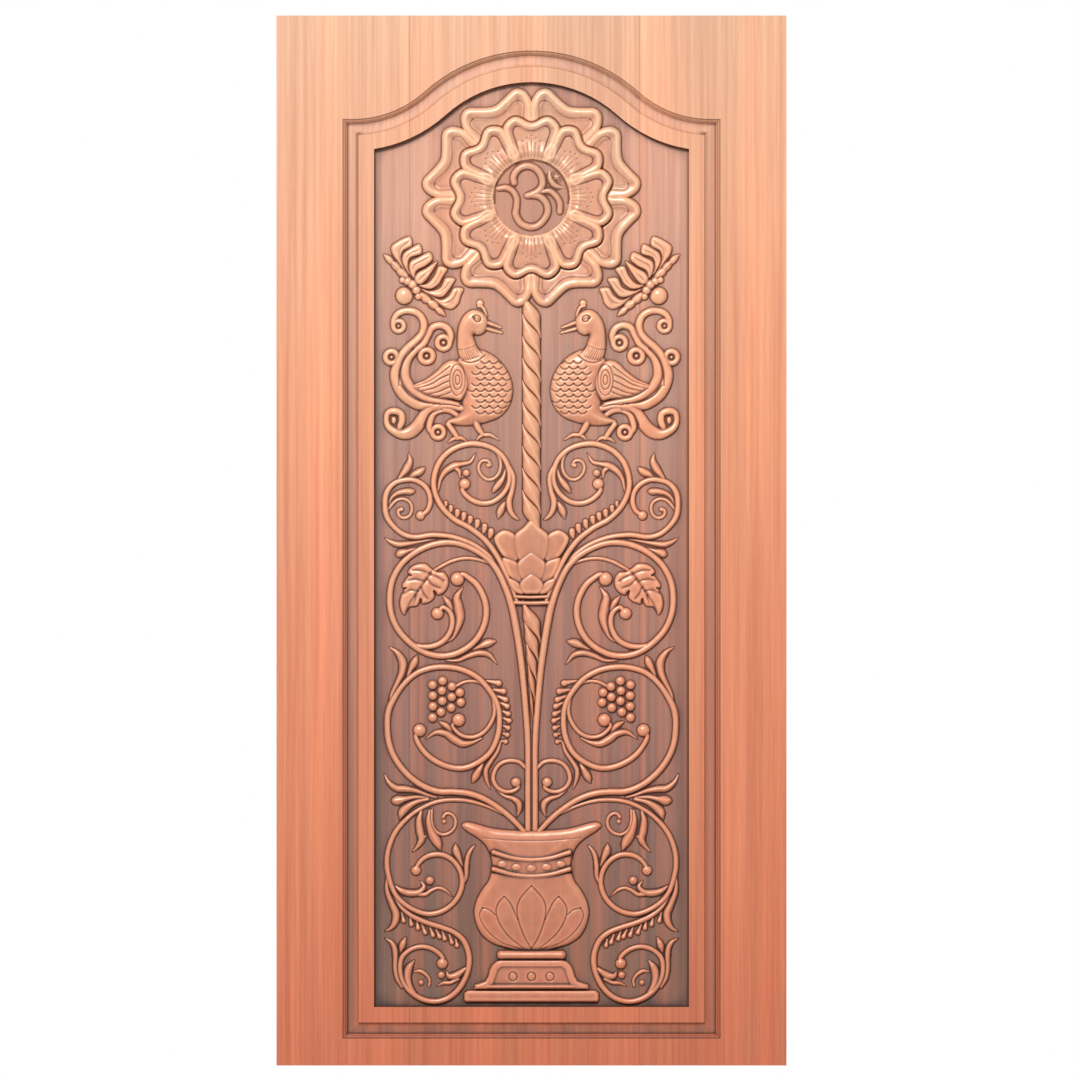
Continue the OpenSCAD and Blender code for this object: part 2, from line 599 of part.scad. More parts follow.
// Berries in rows along the strands and in the eyes of the curls: distance, height and radius
berry_places = [
    // Under the peacock's scroll
    [171, 1126, 4], [161, 1117, 5.4], [148, 1108, 6], [135, 1102, 6], [122, 1095, 6], [108, 1088, 6.2], [94, 1079, 6.4],
    [81, 1069, 6.8],
    // Beside the circle round the grapes
    [65, 764, 7], [56, 748, 6.8], [52, 732, 6.6], [48, 718, 6.4], [46, 703, 6.2], [44, 689, 6], [46, 675, 5.8],
    [48, 661, 5.6], [52, 647, 5.4],
    // Under the lowest scroll
    [256, 289, 5.2], [240, 282, 5.2], [227, 275, 5.2], [213, 265, 5.2], [197, 260, 5.2], [184, 257, 5.2],
    [173, 253, 5.2], [159, 246, 5.2], [149, 240, 5.2],
    // In the curls
    [86, 1202, 5], [130, 1185, 8], [174, 487, 5], [203, 370, 9], [180, 181, 8], [221, 166, 6]];

module berries() for (b = berry_places) berry(b, b[2] * stretch);

module left_berries() color(carving_colour) side(true) on_ground() berries();
module right_berries() color(carving_colour) side(false) on_ground() berries();

// Vase on its foot

// Heights on the leaf with the width and the height above the ground there
vase_body = [[487, 262, 6], [479, 280, 9], [465, 248, 11], [449, 202, 12], [433, 174, 12.5], [413, 160, 13],
    [379, 166, 13], [357, 192, 13.5], [333, 216, 14], [305, 227, 14], [275, 210, 13.5], [251, 180, 12.5], [234, 140, 11]];
vase_ring = [[235, 134, 12], [221, 146, 14], [208, 134, 12]];
vase_foot = [[210, 124, 11], [191, 172, 12], [175, 192, 12], [166, 224, 12.5], [150, 226, 12.5]];
vase_mouth_z = 470;
vase_mouth_r = 505;
neck_bands = [[428, 414, 84], [393, 379, 79]];
plinth = [[-135, 128], [135, 128], [135, 141], [128, 141], [128, 151], [-128, 151], [-128, 141], [-135, 141]];

module turned(profile) strand([for (p = profile) [0, p[0], p[1], p[2]]], 5);

module vase()
    color(carving_colour) on_ground() to_height(vase_h)
        difference() {
            union() {
                turned(vase_body);
                turned(vase_ring);
                turned(vase_foot);
                boss(plinth, [0, 139], 11, 9);
                for (band = neck_bands)
                    strand([[-band[2], band[0], 9, 4], [-band[2] / 2, band[1] + 4, 9, 13], [0, band[1], 9, 15],
                        [band[2] / 2, band[1] + 4, 9, 13], [band[2], band[0], 9, 4]], 2);
                for (s = [-1, 1]) {
                    boss(petal([s * 12, 240], [s * 99, 315], 38), [s * 60, 282], 12, 10);
                    boss(petal([s * 6, 238], [s * 56, 338], 46), [s * 34, 292], 14.5, 13);
                }
                boss(petal([0, 236], [0, 359], 58), [0, 300], 16, 14.5);
            }
            translate(concat(on_leaf([0, vase_mouth_z]) + [0, vase_mouth_r * stretch], [-over]))
                cylinder(r = vase_mouth_r * stretch, h = 2 * ground_depth, $fn = 64);
        }

hinge_board();
centre_board();
lock_board();
rosette();
left_lotus_spray();
right_lotus_spray();
left_peacock();
right_peacock();
upper_stem();
lotus_calyx();
lower_stem();
left_vine();
right_vine();
left_vine_leaf();
right_vine_leaf();
left_grapes();
right_grapes();
left_berries();
right_berries();
vase();
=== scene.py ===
# Carved temple door leaf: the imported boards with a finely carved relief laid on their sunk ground.
import math
import bmesh
import bpy
import numpy as np
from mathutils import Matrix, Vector


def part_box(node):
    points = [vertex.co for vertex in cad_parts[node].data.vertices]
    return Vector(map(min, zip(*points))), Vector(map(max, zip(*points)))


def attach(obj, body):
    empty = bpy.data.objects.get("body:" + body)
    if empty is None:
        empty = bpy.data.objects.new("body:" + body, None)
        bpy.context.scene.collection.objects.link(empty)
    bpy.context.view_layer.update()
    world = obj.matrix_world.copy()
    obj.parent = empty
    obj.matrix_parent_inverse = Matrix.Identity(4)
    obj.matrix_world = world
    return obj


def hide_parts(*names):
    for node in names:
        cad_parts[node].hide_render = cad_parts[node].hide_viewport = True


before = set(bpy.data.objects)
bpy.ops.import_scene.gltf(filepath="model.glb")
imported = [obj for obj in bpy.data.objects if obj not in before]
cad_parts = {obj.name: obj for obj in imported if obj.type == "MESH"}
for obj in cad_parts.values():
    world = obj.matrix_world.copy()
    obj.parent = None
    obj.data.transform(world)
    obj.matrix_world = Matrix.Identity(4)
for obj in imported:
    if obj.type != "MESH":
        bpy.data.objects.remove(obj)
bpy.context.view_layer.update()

# Drawing grid of the carving: squares of 2 mm, across and down, with the leaf's centre line and foot
SQUARE = 2.0
MIDDLE = 531.5
FOOT = 1065.5
GROUND_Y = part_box("vase")[1][1]
# Millimetres of height where nothing is laid, and how far a piece is let into the ground
OUTSIDE = -6.0
LET_IN = -1.0
# How steeply the side of a form falls, and the width and height of the skirt kept round it
WALL = 2.0
SKIRT = 2.2
SKIRT_H = 0.15
# Height from which a form takes the tool's marks, the least it keeps of it, and the least that a cut leaves
WORKED = 0.5
WORKED_LEAST = 0.4
CUT_LEAST = 0.3
LEAST_WIDTH = 0.4
# Marks of the tool: seed, reach and depth
TOOL_SEED = 11
TOOL_REACH = 5.0
TOOL_DEPTH = 0.16
# Painted shade: reach and size of the bends it is painted in, and how high it climbs from the foot of a form
BEND_REACH = 3.0
BEND_SIZE = 1.3
FOOT_SHADE_REACH = 3.5
# Shares of bend and foot in the painted shade, its level on a skirt, and how far below none it goes on
# crests, where it is a painted highlight
BEND_SHADE = 0.9
FOOT_SHARE = 0.5
SKIRT_SHADE = 0.6
CREST_HIGHLIGHT = -0.6
# Slope from which a carved side gets painted shade, and how much of it
STEEP = 0.3
SLOPE_SHADE = 0.4
COARSE = 1.0
CELL = 1.4 * COARSE
FINE_CELL = 1.1 * COARSE
# The four corners of a grid cell
CORNERS = ((0, 0), (1, 0), (0, 1), (1, 1))


def on_leaf(across, down):
    """Millimetres on the leaf, from its centre line and from its foot"""
    return SQUARE * (across - MIDDLE), SQUARE * (FOOT - down)


def rows(numbers, columns):
    """Drawn points, given one by one or as a plain run of numbers, in rows"""
    return np.reshape(numbers, (-1, columns)).astype(float)


def centred(points, side=1):
    """Points drawn from the centre line, to the right of it or turned over to the left"""
    return rows(points, 2) * (side, 1) + (MIDDLE, 0)


def both_sides(half):
    """A whole outline from the half to the right of the centre line"""
    left = centred(half, -1)[::-1]
    return np.concatenate([centred(half), left[left[:, 0] < MIDDLE]])


def ring(across, down, wide, high, count):
    """Drawn points round an oval"""
    turns = np.linspace(0, 2 * math.pi, count)
    return [(across + wide * math.cos(a), down + high * math.sin(a)) for a in turns]


def smooth(drawn, step=2.0, closed=False):
    """A smooth path through drawn points. Every column but the first two is scaled with them."""
    way = drawn.copy()
    way[:, 0], way[:, 1] = on_leaf(drawn[:, 0], drawn[:, 1])
    way[:, 2:] *= SQUARE
    if closed:
        way = np.concatenate([way[-2:], way, way[:3]])
    chord = np.maximum(np.linalg.norm(np.diff(way[:, :2], axis=0), axis=1), 1e-6)
    t = np.concatenate([[0], np.cumsum(np.sqrt(chord))])
    slope = np.gradient(way, t, axis=0)
    first, last = (2, len(way) - 3) if closed else (0, len(way) - 1)
    out = []
    for i in range(first, last):
        n = max(2, int(chord[i] / step))
        s = np.linspace(0, 1, n, endpoint=False)[:, None]
        span = t[i + 1] - t[i]
        out.append((2 * s**3 - 3 * s**2 + 1) * way[i] + (s**3 - 2 * s**2 + s) * span * slope[i]
                   + (3 * s**2 - 2 * s**3) * way[i + 1] + (s**3 - s**2) * span * slope[i + 1])
    if not closed:
        out.append(way[last:last + 1])
    path = np.concatenate(out)
    path[:, 2:] = np.maximum(path[:, 2:], LEAST_WIDTH)
    return path


def blur(values, reach):
    """Three box averages, close to a round blur of that reach in cells"""
    n = max(1, int(round(reach)))
    for axis in (0, 1, 0, 1, 0, 1):
        padded = np.concatenate([np.repeat(values.take([0], axis), n + 1, axis), values,
                                 np.repeat(values.take([-1], axis), n, axis)], axis)
        sums = np.cumsum(padded, axis)
        size = values.shape[axis]
        ahead = sums.take(range(2 * n + 1, 2 * n + 1 + size), axis)
        values = (ahead - sums.take(range(size), axis)) / (2 * n + 1)
    return values


def half_round(u):
    return np.sqrt(np.maximum(1 - u * u, 0))


def ridged(u):
    return np.maximum(1 - u**1.5, 0)**0.75


class Relief:
    """Millimetres above the ground over a fine grid that forms are laid on and lines cut into"""

    def __init__(self, left, top, right, bottom, cell=CELL):
        x0, z1 = on_leaf(left, top)
        x1, z0 = on_leaf(right, bottom)
        self.cell = cell
        self.x = np.arange(x0, x1 + cell, cell)
        self.z = np.arange(z0, z1 + cell, cell)
        self.h = np.full((len(self.z), len(self.x)), OUTSIDE)
        # Least painted shade at each point where a part sets it, in the stained tone; -1 where none is set
        self.stain_and_painted_shade = np.full(self.h.shape, -1.0)
        self.seat = 0.0

    def window(self, path, margin):
        """The part of the grid round a path"""
        low = (path[:, :2].min(0) - margin - (self.x[0], self.z[0])) / self.cell
        high = (path[:, :2].max(0) + margin - (self.x[0], self.z[0])) / self.cell
        i0, j0 = np.maximum(low.astype(int), 0)
        i1 = min(int(high[0]) + 2, len(self.x))
        j1 = min(int(high[1]) + 2, len(self.z))
        return (slice(j0, max(j1, j0)), slice(i0, max(i1, i0)))

    def runs(self, path, margin, run=10):
        """Short runs of a path, each with the grid points near it, their distances and their places on it"""
        for i in range(0, len(path) - 1, run):
            part = path[i:i + run + 1]
            at = self.window(part, margin)
            if self.h[at].size == 0:
                continue
            px = self.x[at[1]][None, :, None]
            pz = self.z[at[0]][:, None, None]
            a, b = part[:-1], part[1:]
            d = b - a
            size = np.maximum(d[:, 0]**2 + d[:, 1]**2, 1e-9)
            s = np.clip(((px - a[:, 0]) * d[:, 0] + (pz - a[:, 1]) * d[:, 1]) / size, 0, 1)
            off = np.sqrt((px - a[:, 0] - s * d[:, 0])**2 + (pz - a[:, 1] - s * d[:, 1])**2)
            yield at, off, s, a, d

    def strand(self, points, rise=0.6, high=None, shape=half_round, lift=0.0, widen=1.0):
        """A strand along points of across, down and width. Its height goes with its width up to a limit."""
        drawn = rows(points, 3)
        drawn[:, 2] *= widen
        path = smooth(drawn)
        for at, off, s, a, d in self.runs(path, path[:, 2].max() / 2 + 4):
            half = (a[:, 2] + s * d[:, 2]) / 2
            top = 2 * half * rise if high is None else np.minimum(high, 2 * half * rise)
            u = off / half
            side = np.minimum(lift, 0) - WALL * (off - half)
            new = np.where(u < 1, lift + top * shape(np.minimum(u, 1)), side)
            self.h[at] = np.maximum(self.h[at], new.max(-1))

    def groove(self, points, width, depth):
        """A line cut along drawn points"""
        path = smooth(rows(points, 2), 1.5)
        near = np.full(self.h.shape, 1e3)
        for at, off, *_ in self.runs(path, 2.5 * width):
            near[at] = np.minimum(near[at], off.min(-1))
        cut = depth * np.exp(-(near / (0.5 * width))**2)
        self.h = np.where(self.h > CUT_LEAST, np.maximum(self.h - cut, CUT_LEAST), self.h)

    def grooves(self, lines, width, depth):
        for line in lines:
            self.groove(line, width, depth)

    def inside(self, points, rounded=True):
        """Distance inside a drawn outline, negative outside, with the window it holds for"""
        drawn = rows(points, 2)
        path = smooth(drawn, 2.5, True) if rounded else np.stack(on_leaf(*drawn.T), 1)
        at = self.window(path, 5)
        px = self.x[at[1]][None, :]
        pz = self.z[at[0]][:, None]
        near = np.full((pz.shape[0], px.shape[1]), 1e9)
        odd = np.zeros(near.shape, bool)
        for a, b in zip(path, np.roll(path, -1, 0)):
            d = b - a
            s = np.clip(((px - a[0]) * d[0] + (pz - a[1]) * d[1]) / max(d @ d, 1e-9), 0, 1)
            near = np.minimum(near, (px - a[0] - s * d[0])**2 + (pz - a[1] - s * d[1])**2)
            if d[1] != 0:
                odd ^= ((pz < a[1]) != (pz < b[1])) & (px < a[0] + (pz - a[1]) * d[0] / d[1])
        near = np.sqrt(near)
        return at, np.where(odd, near, -near)

    def cushion(self, points, high, roll, crown=0.0, base=0.0, rounded=True):
        """A form over a drawn outline: an edge rolled over so far, then a slow rise to its crown"""
        at, deep = self.inside(points, rounded)
        u = np.clip(1 - deep / roll, 0, 1)
        rise = np.clip(deep / max(deep.max(), 1e-6), 0, 1)
        top = base + high * half_round(u) + crown * (1 - (1 - rise)**2)
        self.h[at] = np.maximum(self.h[at], np.where(deep > 0, top, WALL * deep))
        return at, deep

    def knob(self, across, down, r, high=None, base=0.0, stretch=1.0):
        """A round boss, as high as its radius allows or as given"""
        x, z = on_leaf(across, down)
        r = r * SQUARE
        high = 0.8 * r if high is None else high
        at = self.window(np.array([[x, z]]), 1.5 * r + 4)
        px = self.x[at[1]][None, :]
        pz = self.z[at[0]][:, None]
        off = np.sqrt((px - x)**2 + ((pz - z) / stretch)**2)
        new = np.where(off < r, base + high * half_round(np.minimum(off / r, 1)), base - WALL * (off - r))
        self.h[at] = np.maximum(self.h[at], new)

    def height(self, across, down):
        x, z = on_leaf(across, down)
        return self.h[np.abs(self.z - z).argmin(), np.abs(self.x - x).argmin()]

    def painted_shade_and_highlight(self, h):
        """Painted shade at each point: in bends, near the foot of a form, on steep sides and on the skirt; a
        painted highlight on crests
        """
        surface = np.maximum(h, 0)
        bend = (blur(surface, BEND_REACH / self.cell) - surface) / BEND_SIZE
        foot = np.clip(1 - (h - self.seat) / FOOT_SHADE_REACH, 0, 1)
        rise, run = np.gradient(blur(surface, 1), self.cell)
        steep = np.clip(np.hypot(rise, run) - STEEP, 0, 1)
        held = np.clip(BEND_SHADE * bend + FOOT_SHARE * foot + SLOPE_SHADE * steep, CREST_HIGHLIGHT, 1)
        # The skirt round a form gets painted shade, deepest next to the form
        skirt = SKIRT_SHADE + (1 - SKIRT_SHADE) * np.clip(1.3 + h / (SKIRT * WALL), 0, 1)
        return np.maximum(np.where(h > 0, held, skirt), self.stain_and_painted_shade)

    def mesh(self, name, mirrored=False):
        """The laid forms as a closed mesh let a little into the ground, with the painted shade and highlight
        of each point
        """
        tool = np.random.default_rng(TOOL_SEED).normal(size=self.h.shape)
        tool = blur(tool, TOOL_REACH / self.cell)
        tool *= TOOL_DEPTH / max(tool.std(), 1e-9)
        h = np.where(self.h > WORKED, np.maximum(self.h + tool, WORKED_LEAST), self.h)
        held = h > -SKIRT * WALL
        cells = held[:-1, :-1] | held[1:, :-1] | held[:-1, 1:] | held[1:, 1:]
        lone = cells[:-1, :-1] & cells[1:, 1:] & ~cells[1:, :-1] & ~cells[:-1, 1:]
        cross = ~cells[:-1, :-1] & ~cells[1:, 1:] & cells[1:, :-1] & cells[:-1, 1:]
        cells[1:, :-1] |= lone
        cells[:-1, :-1] |= cross
        around = np.pad(cells.astype(int), 1)
        rim = around[:-1, :-1] + around[1:, :-1] + around[:-1, 1:] + around[1:, 1:] < len(CORNERS)
        height = np.where(rim, LET_IN, np.maximum(h, SKIRT_H))
        used = np.zeros(h.shape, bool)
        j, i = np.nonzero(cells)
        for dj, di in CORNERS:
            used[j + dj, i + di] = True
        number = np.cumsum(used.ravel()).reshape(used.shape) - 1
        jj, ii = np.nonzero(used)
        side = -1 if mirrored else 1
        verts = np.stack([side * self.x[ii] / 1000, GROUND_Y - height[jj, ii] / 1000, self.z[jj] / 1000], 1)
        quads = np.stack([number[j, i], number[j, i + 1], number[j + 1, i + 1], number[j + 1, i]], 1)
        if mirrored:
            quads = quads[:, ::-1]
        mesh = bpy.data.meshes.new(name)
        mesh.from_pydata(verts.tolist(), [], quads.tolist())
        # Painted shade and highlight of each point, for the carving's material
        attribute = mesh.attributes.new("painted_shade_and_highlight", "FLOAT", "POINT")
        attribute.data.foreach_set("value", self.painted_shade_and_highlight(h)[jj, ii].astype(np.float32))
        close_back(mesh)
        return mesh


def close_back(mesh):
    """Closes the flat underside that lies in the ground and shades the front smoothly"""
    work = bmesh.new()
    work.from_mesh(mesh)
    edges = [e for e in work.edges if e.is_boundary]
    bmesh.ops.triangle_fill(work, use_beauty=False, use_dissolve=False, edges=edges, normal=(0, 1, 0))
    for face in work.faces:
        face.smooth = True
    work.to_mesh(mesh)
    work.free()


class Wiring:
    """A node tree to wire up: an input is linked to a socket or set to a value"""

    def __init__(self, tree):
        self.tree = tree

    def put(self, socket, value):
        if isinstance(value, bpy.types.NodeSocket):
            self.tree.links.new(value, socket)
        else:
            socket.default_value = value

    def add(self, kind, inputs=None, **settings):
        """A new node with its settings and then its inputs, by name or number"""
        node = self.tree.nodes.new(kind)
        for name, value in settings.items():
            setattr(node, name, value)
        for name, value in (inputs or {}).items():
            self.put(node.inputs[name], value)
        return node

    def math(self, kind, *values, clamp=False):
        node = self.add("ShaderNodeMath", dict(enumerate(values)), operation=kind, use_clamp=clamp)
        return node.outputs[0]

    def product(self, value, *others):
        for other in others:
            value = self.math("MULTIPLY", value, other)
        return value

    def line(self, value, gain, level, clamp=False):
        """A value times a gain, added to a level"""
        return self.math("MULTIPLY_ADD", value, gain, level, clamp=clamp)

    def spread(self, value, low, high, to_low=0.0, to_high=1.0):
        """A value taken from one range to another and kept in it"""
        limits = {"From Min": low, "From Max": high, "To Min": to_low, "To Max": to_high}
        return self.add("ShaderNodeMapRange", {"Value": value, **limits}).outputs[0]

    def mix(self, factor, a, b, blend="MIX"):
        node = self.add("ShaderNodeMix", {0: factor, 6: a, 7: b}, data_type="RGBA", blend_type=blend)
        return node.outputs[2]

    def tint(self, colour, by):
        return self.mix(1.0, colour, (*by, 1), "MULTIPLY")

    def apart(self, place):
        return self.add("ShaderNodeSeparateXYZ", {0: place}).outputs

    def group(self, group, place):
        return self.add("ShaderNodeGroup", {"Place": place}, node_tree=group).outputs


# Wood: shader groups shared by the boards and the carving

# Noise of the timber, drawn out along the grain: name, scale, detail, roughness and start
NOISES = (("Figure", (14, 14, 0.5), 3, 0.55, (3, 1, 7)), ("Bands", (32, 20, 0.4), 2, 0.5, (8, 4, 2)),
          ("Streak", (120, 60, 1.6), 5, 0.6, (5, 2, 1)), ("Pores", (900, 500, 14), 3, 0.6, (1, 9, 4)))
# Height at which the tones of the timber end, and the tones from the foot up to it, paler towards the head:
# partly painted light from above
TONES_END = 2.1
POLISHED = [(0, (0.65, 0.219, 0.119)), (0.06, (0.69, 0.232, 0.126)), (0.25, (0.75, 0.272, 0.147)), (0.44,
            (0.8, 0.317, 0.181)), (0.63, (0.88, 0.39, 0.219)), (0.82, (0.88, 0.45, 0.272)), (1,
            (0.82, 0.487, 0.315))]
OILED = [(0, (0.628, 0.229, 0.136)), (0.06, (0.667, 0.242, 0.144)), (0.25, (0.68, 0.26, 0.149)), (0.44,
         (0.672, 0.276, 0.159)), (0.63, (0.724, 0.312, 0.183)), (0.82, (0.717, 0.368, 0.23)), (1,
         (0.689, 0.424, 0.277))]
STAIN_AND_SHADE_TONES = [(0, (0.235, 0.147, 0.115)), (0.06, (0.24, 0.15, 0.116)), (0.13, (0.25, 0.153, 0.118)), (0.25,
           (0.3, 0.172, 0.142)), (0.44, (0.4, 0.215, 0.168)), (0.63, (0.465, 0.275, 0.218)), (0.82,
           (0.69, 0.385, 0.28)), (1, (0.68, 0.378, 0.275))]
# Tints of the boards: ruddy figure, painted shade on the moulding's bead, painted shade on shut-in ground
# and in corners, and glue
RUDDY = (1.02, 0.86, 0.82)
BEAD_SHADE_TINT = (0.6, 0.53, 0.5)
ENCLOSED_SHADE_TINT = (0.40, 0.46, 0.5)
CORNER_SHADE_TINT = (0.36, 0.27, 0.22)
GLUE = (0.16, 0.09, 0.08, 1)
# Tints of the carving: painted shade in the stained tone, deeper painted shade, painted highlight on its
# crests, and of its gloss
SHADE_TINT = (0.82, 0.82, 0.84)
DEEP_SHADE_TINT = (0.30, 0.24, 0.21)
HIGHLIGHT_TINT = (1.12, 1.3, 1.32)
GLOSS = (1.0, 0.9, 0.76, 1)
# Figure between which the timber turns ruddy, and bands between which the sunk tone (stain and painted
# shade) takes unevenly
RUDDY_FIGURE = (0.4, 0.66)
UNEVEN = (0.36, 0.6, 0.66, 1.15)
# Sunk panel: depths between which its darker tone (stain and painted shade) sets in, half its width, and its
# back, foot and head
SUNK = (-0.0180, -0.0108)
PANEL_HALF = 0.4
PANEL_BACK = 0.002
PANEL_FOOT = 0.05
PANEL_HEAD = 2.06
# Levels of the moulding's bead, outside and inside that of the fillet, and how far each goes up and down;
# the bead is darkened there with painted shade
BEAD_LEVELS = ((-0.0209, 0.0003), (-0.0192, 0.0012))
BOARD_SHEEN = 0.22
# Grain: share of the pores in the shade, warmth kept in it, roughness from streaks and strength of the bump
PORE_SHARE = 0.4
WARMTH = 0.6
STREAK_ROUGH = 0.16
BUMP = 0.35
# Half the width of a glue line and how much of it shows
GLUE_LINE = 0.0016
GLUE_SHARE = 0.3


def new_group(name, outputs, kind):
    """A shader group that takes a place on the leaf"""
    group = bpy.data.node_groups.new(name, "ShaderNodeTree")
    group.interface.new_socket(name="Place", in_out="INPUT", socket_type="NodeSocketVector")
    for label in outputs:
        group.interface.new_socket(name=label, in_out="OUTPUT", socket_type=kind)
    wiring = Wiring(group)
    return wiring, wiring.add("NodeGroupInput").outputs["Place"], wiring.add("NodeGroupOutput").inputs


def grain_group():
    """Broad figure, bands, streaks and fine pores of the timber, from a place on the leaf"""
    wiring, place, give = new_group("wood_grain", [row[0] for row in NOISES], "NodeSocketFloat")
    for name, scale, detail, rough, start in NOISES:
        mapping = wiring.add("ShaderNodeMapping", {"Vector": place, "Scale": scale, "Location": start})
        noise = wiring.add("ShaderNodeTexNoise", {"Vector": mapping.outputs[0], "Scale": 1.0,
                                                  "Detail": detail, "Roughness": rough})
        wiring.put(give[name], noise.outputs["Fac"])
    return wiring.tree


def tone_group():
    """Colours of the timber on its face, on its carving and where it is sunk (stain and painted shade),
    paler towards the head, which is partly painted light from above
    """
    tones = {"Polished": POLISHED, "Oiled": OILED, "Stain and shade": STAIN_AND_SHADE_TONES}
    wiring, place, give = new_group("wood_tone", tones, "NodeSocketColor")
    up = wiring.math("DIVIDE", wiring.apart(place)["Z"], TONES_END, clamp=True)
    for name, stops in tones.items():
        ramp = wiring.add("ShaderNodeValToRGB", {0: up})
        while len(ramp.color_ramp.elements) < len(stops):
            ramp.color_ramp.elements.new(0.5)
        for element, (at, colour) in zip(ramp.color_ramp.elements, stops):
            element.position = at
            element.color = (*colour, 1)
        wiring.put(give[name], ramp.outputs[0])
    return wiring.tree


GRAIN = grain_group()
TONE = tone_group()


def new_wood(name):
    """A wood material with its wiring, the inputs of its shader and the place on the leaf"""
    material = bpy.data.materials.new(name)
    material.use_nodes = True
    wiring = Wiring(material.node_tree)
    shader = material.node_tree.nodes["Principled BSDF"].inputs
    return material, wiring, shader, wiring.add("ShaderNodeTexCoord").outputs["Object"]


def finish_wood(wiring, shader, colour, grain, shade, dullness, depth):
    """Grain in the colour, the polish and the surface"""
    ruddy = wiring.spread(grain["Figure"], *RUDDY_FIGURE)
    colour = wiring.mix(ruddy, colour, wiring.tint(colour, RUDDY))
    shares = (("Streak", shade), ("Figure", shade), ("Pores", PORE_SHARE * shade))
    dark = wiring.product(*[wiring.line(grain[name], share, 1 - 0.5 * share) for name, share in shares])
    warm = wiring.line(dark, WARMTH, 1 - WARMTH)
    shadow = wiring.add("ShaderNodeCombineColor", {0: warm, 1: dark, 2: dark})
    wiring.put(shader["Base Color"], wiring.mix(1.0, colour, shadow.outputs[0], "MULTIPLY"))
    wiring.put(shader["Roughness"], wiring.line(grain["Streak"], STREAK_ROUGH, dullness))
    fibres = wiring.math("ADD", grain["Streak"], grain["Pores"])
    bump = wiring.add("ShaderNodeBump", {"Strength": BUMP, "Distance": depth, "Height": fibres})
    wiring.put(shader["Normal"], bump.outputs[0])


def enclosed(wiring, reach, own, level, gain):
    """Painted shade for a place, by how far it is shut in by what stands round it, within a reach"""
    walls = wiring.add("ShaderNodeAmbientOcclusion", {"Distance": reach}, samples=8, only_local=own)
    return wiring.line(walls.outputs["AO"], gain, level, True)


def board_wood(name, shift, tint, joints):
    """Board timber: polished on its face, darker where it is sunk below it (stain and painted shade), with
    painted shade on the moulding's bead, on shut-in ground and in corners
    """
    material, wiring, shader, where = new_wood(name)
    wiring.put(shader["Specular IOR Level"], BOARD_SHEEN)
    moved = wiring.add("ShaderNodeVectorMath", {0: where, 1: (shift, 0.3 * shift, shift)}, operation="ADD")
    grain = wiring.group(GRAIN, moved.outputs[0])
    tone = wiring.group(TONE, where)
    x, y, z = wiring.apart(where)
    panel = wiring.product(wiring.math("LESS_THAN", wiring.math("ABSOLUTE", x), PANEL_HALF),
                           wiring.math("LESS_THAN", y, PANEL_BACK),
                           wiring.math("GREATER_THAN", z, PANEL_FOOT),
                           wiring.math("LESS_THAN", z, PANEL_HEAD))
    # Darker, greyer tone on the sunk ground: stain and painted shade
    stain_and_painted_shade = wiring.product(wiring.spread(y, *SUNK), panel, wiring.spread(grain["Bands"], *UNEVEN))
    colour = wiring.mix(stain_and_painted_shade, tone["Polished"], tone["Stain and shade"])
    # Painted shade on the moulding's bead
    for level, reach in BEAD_LEVELS:
        edge = wiring.product(wiring.math("COMPARE", y, level, reach), panel)
        colour = wiring.mix(edge, colour, wiring.tint(colour, BEAD_SHADE_TINT))
    # Painted shade on sunk ground shut in by the carving
    painted_enclosure_shade = wiring.product(enclosed(wiring, reach=0.036, own=False, level=3.4, gain=-3.9), stain_and_painted_shade)
    colour = wiring.mix(painted_enclosure_shade, colour, wiring.tint(tone["Stain and shade"], ENCLOSED_SHADE_TINT))
    # Painted shade in the corners of the moulding and along walls
    corners = enclosed(wiring, reach=0.007, own=True, level=4.2, gain=-4.5)
    colour = wiring.mix(corners, colour, wiring.tint(tone["Stain and shade"], CORNER_SHADE_TINT))
    colour = wiring.tint(colour, tint)
    for joint in joints:
        line = wiring.math("COMPARE", x, joint, GLUE_LINE)
        colour = wiring.mix(wiring.product(line, GLUE_SHARE), colour, GLUE)
    finish_wood(wiring, shader, colour, grain, shade=0.9, dullness=0.42, depth=0.0006)
    return material


def carving_wood():
    """Carved timber: a painted highlight where it stands out, painted shade in its recesses, on its steep
    sides and where it is shut in
    """
    material, wiring, shader, where = new_wood("carving_wood")
    wiring.put(shader["Specular Tint"], GLOSS)
    grain = wiring.group(GRAIN, where)
    tone = wiring.group(TONE, where)
    painted_shade_and_highlight = wiring.add("ShaderNodeAttribute", attribute_name="painted_shade_and_highlight").outputs["Fac"]
    # Painted shade in the stained tone, deeper painted shade and a painted highlight, from each point's
    # painted shade and highlight
    stain_and_painted_shade = wiring.line(painted_shade_and_highlight, 1.45, 0.16, True)
    painted_shade = wiring.line(painted_shade_and_highlight, 2.5, -1.5, True)
    painted_highlight = wiring.line(painted_shade_and_highlight, -1.7, -0.08, True)
    dark = wiring.tint(tone["Stain and shade"], DEEP_SHADE_TINT)
    colour = wiring.mix(stain_and_painted_shade, tone["Oiled"], wiring.tint(tone["Stain and shade"], SHADE_TINT))
    # Painted shade where the carving is shut in by what stands round it
    painted_enclosure_shade = enclosed(wiring, reach=0.016, own=False, level=1.3, gain=-1.5)
    colour = wiring.mix(painted_enclosure_shade, colour, dark)
    colour = wiring.mix(painted_shade, colour, dark)
    colour = wiring.mix(painted_highlight, colour, wiring.tint(tone["Polished"], HIGHLIGHT_TINT))
    wiring.put(shader["Specular IOR Level"], wiring.line(painted_shade_and_highlight, -1.3, 0.55, True))
    finish_wood(wiring, shader, colour, grain, shade=0.4, dullness=0.23, depth=0.0004)
    return material


# Boards

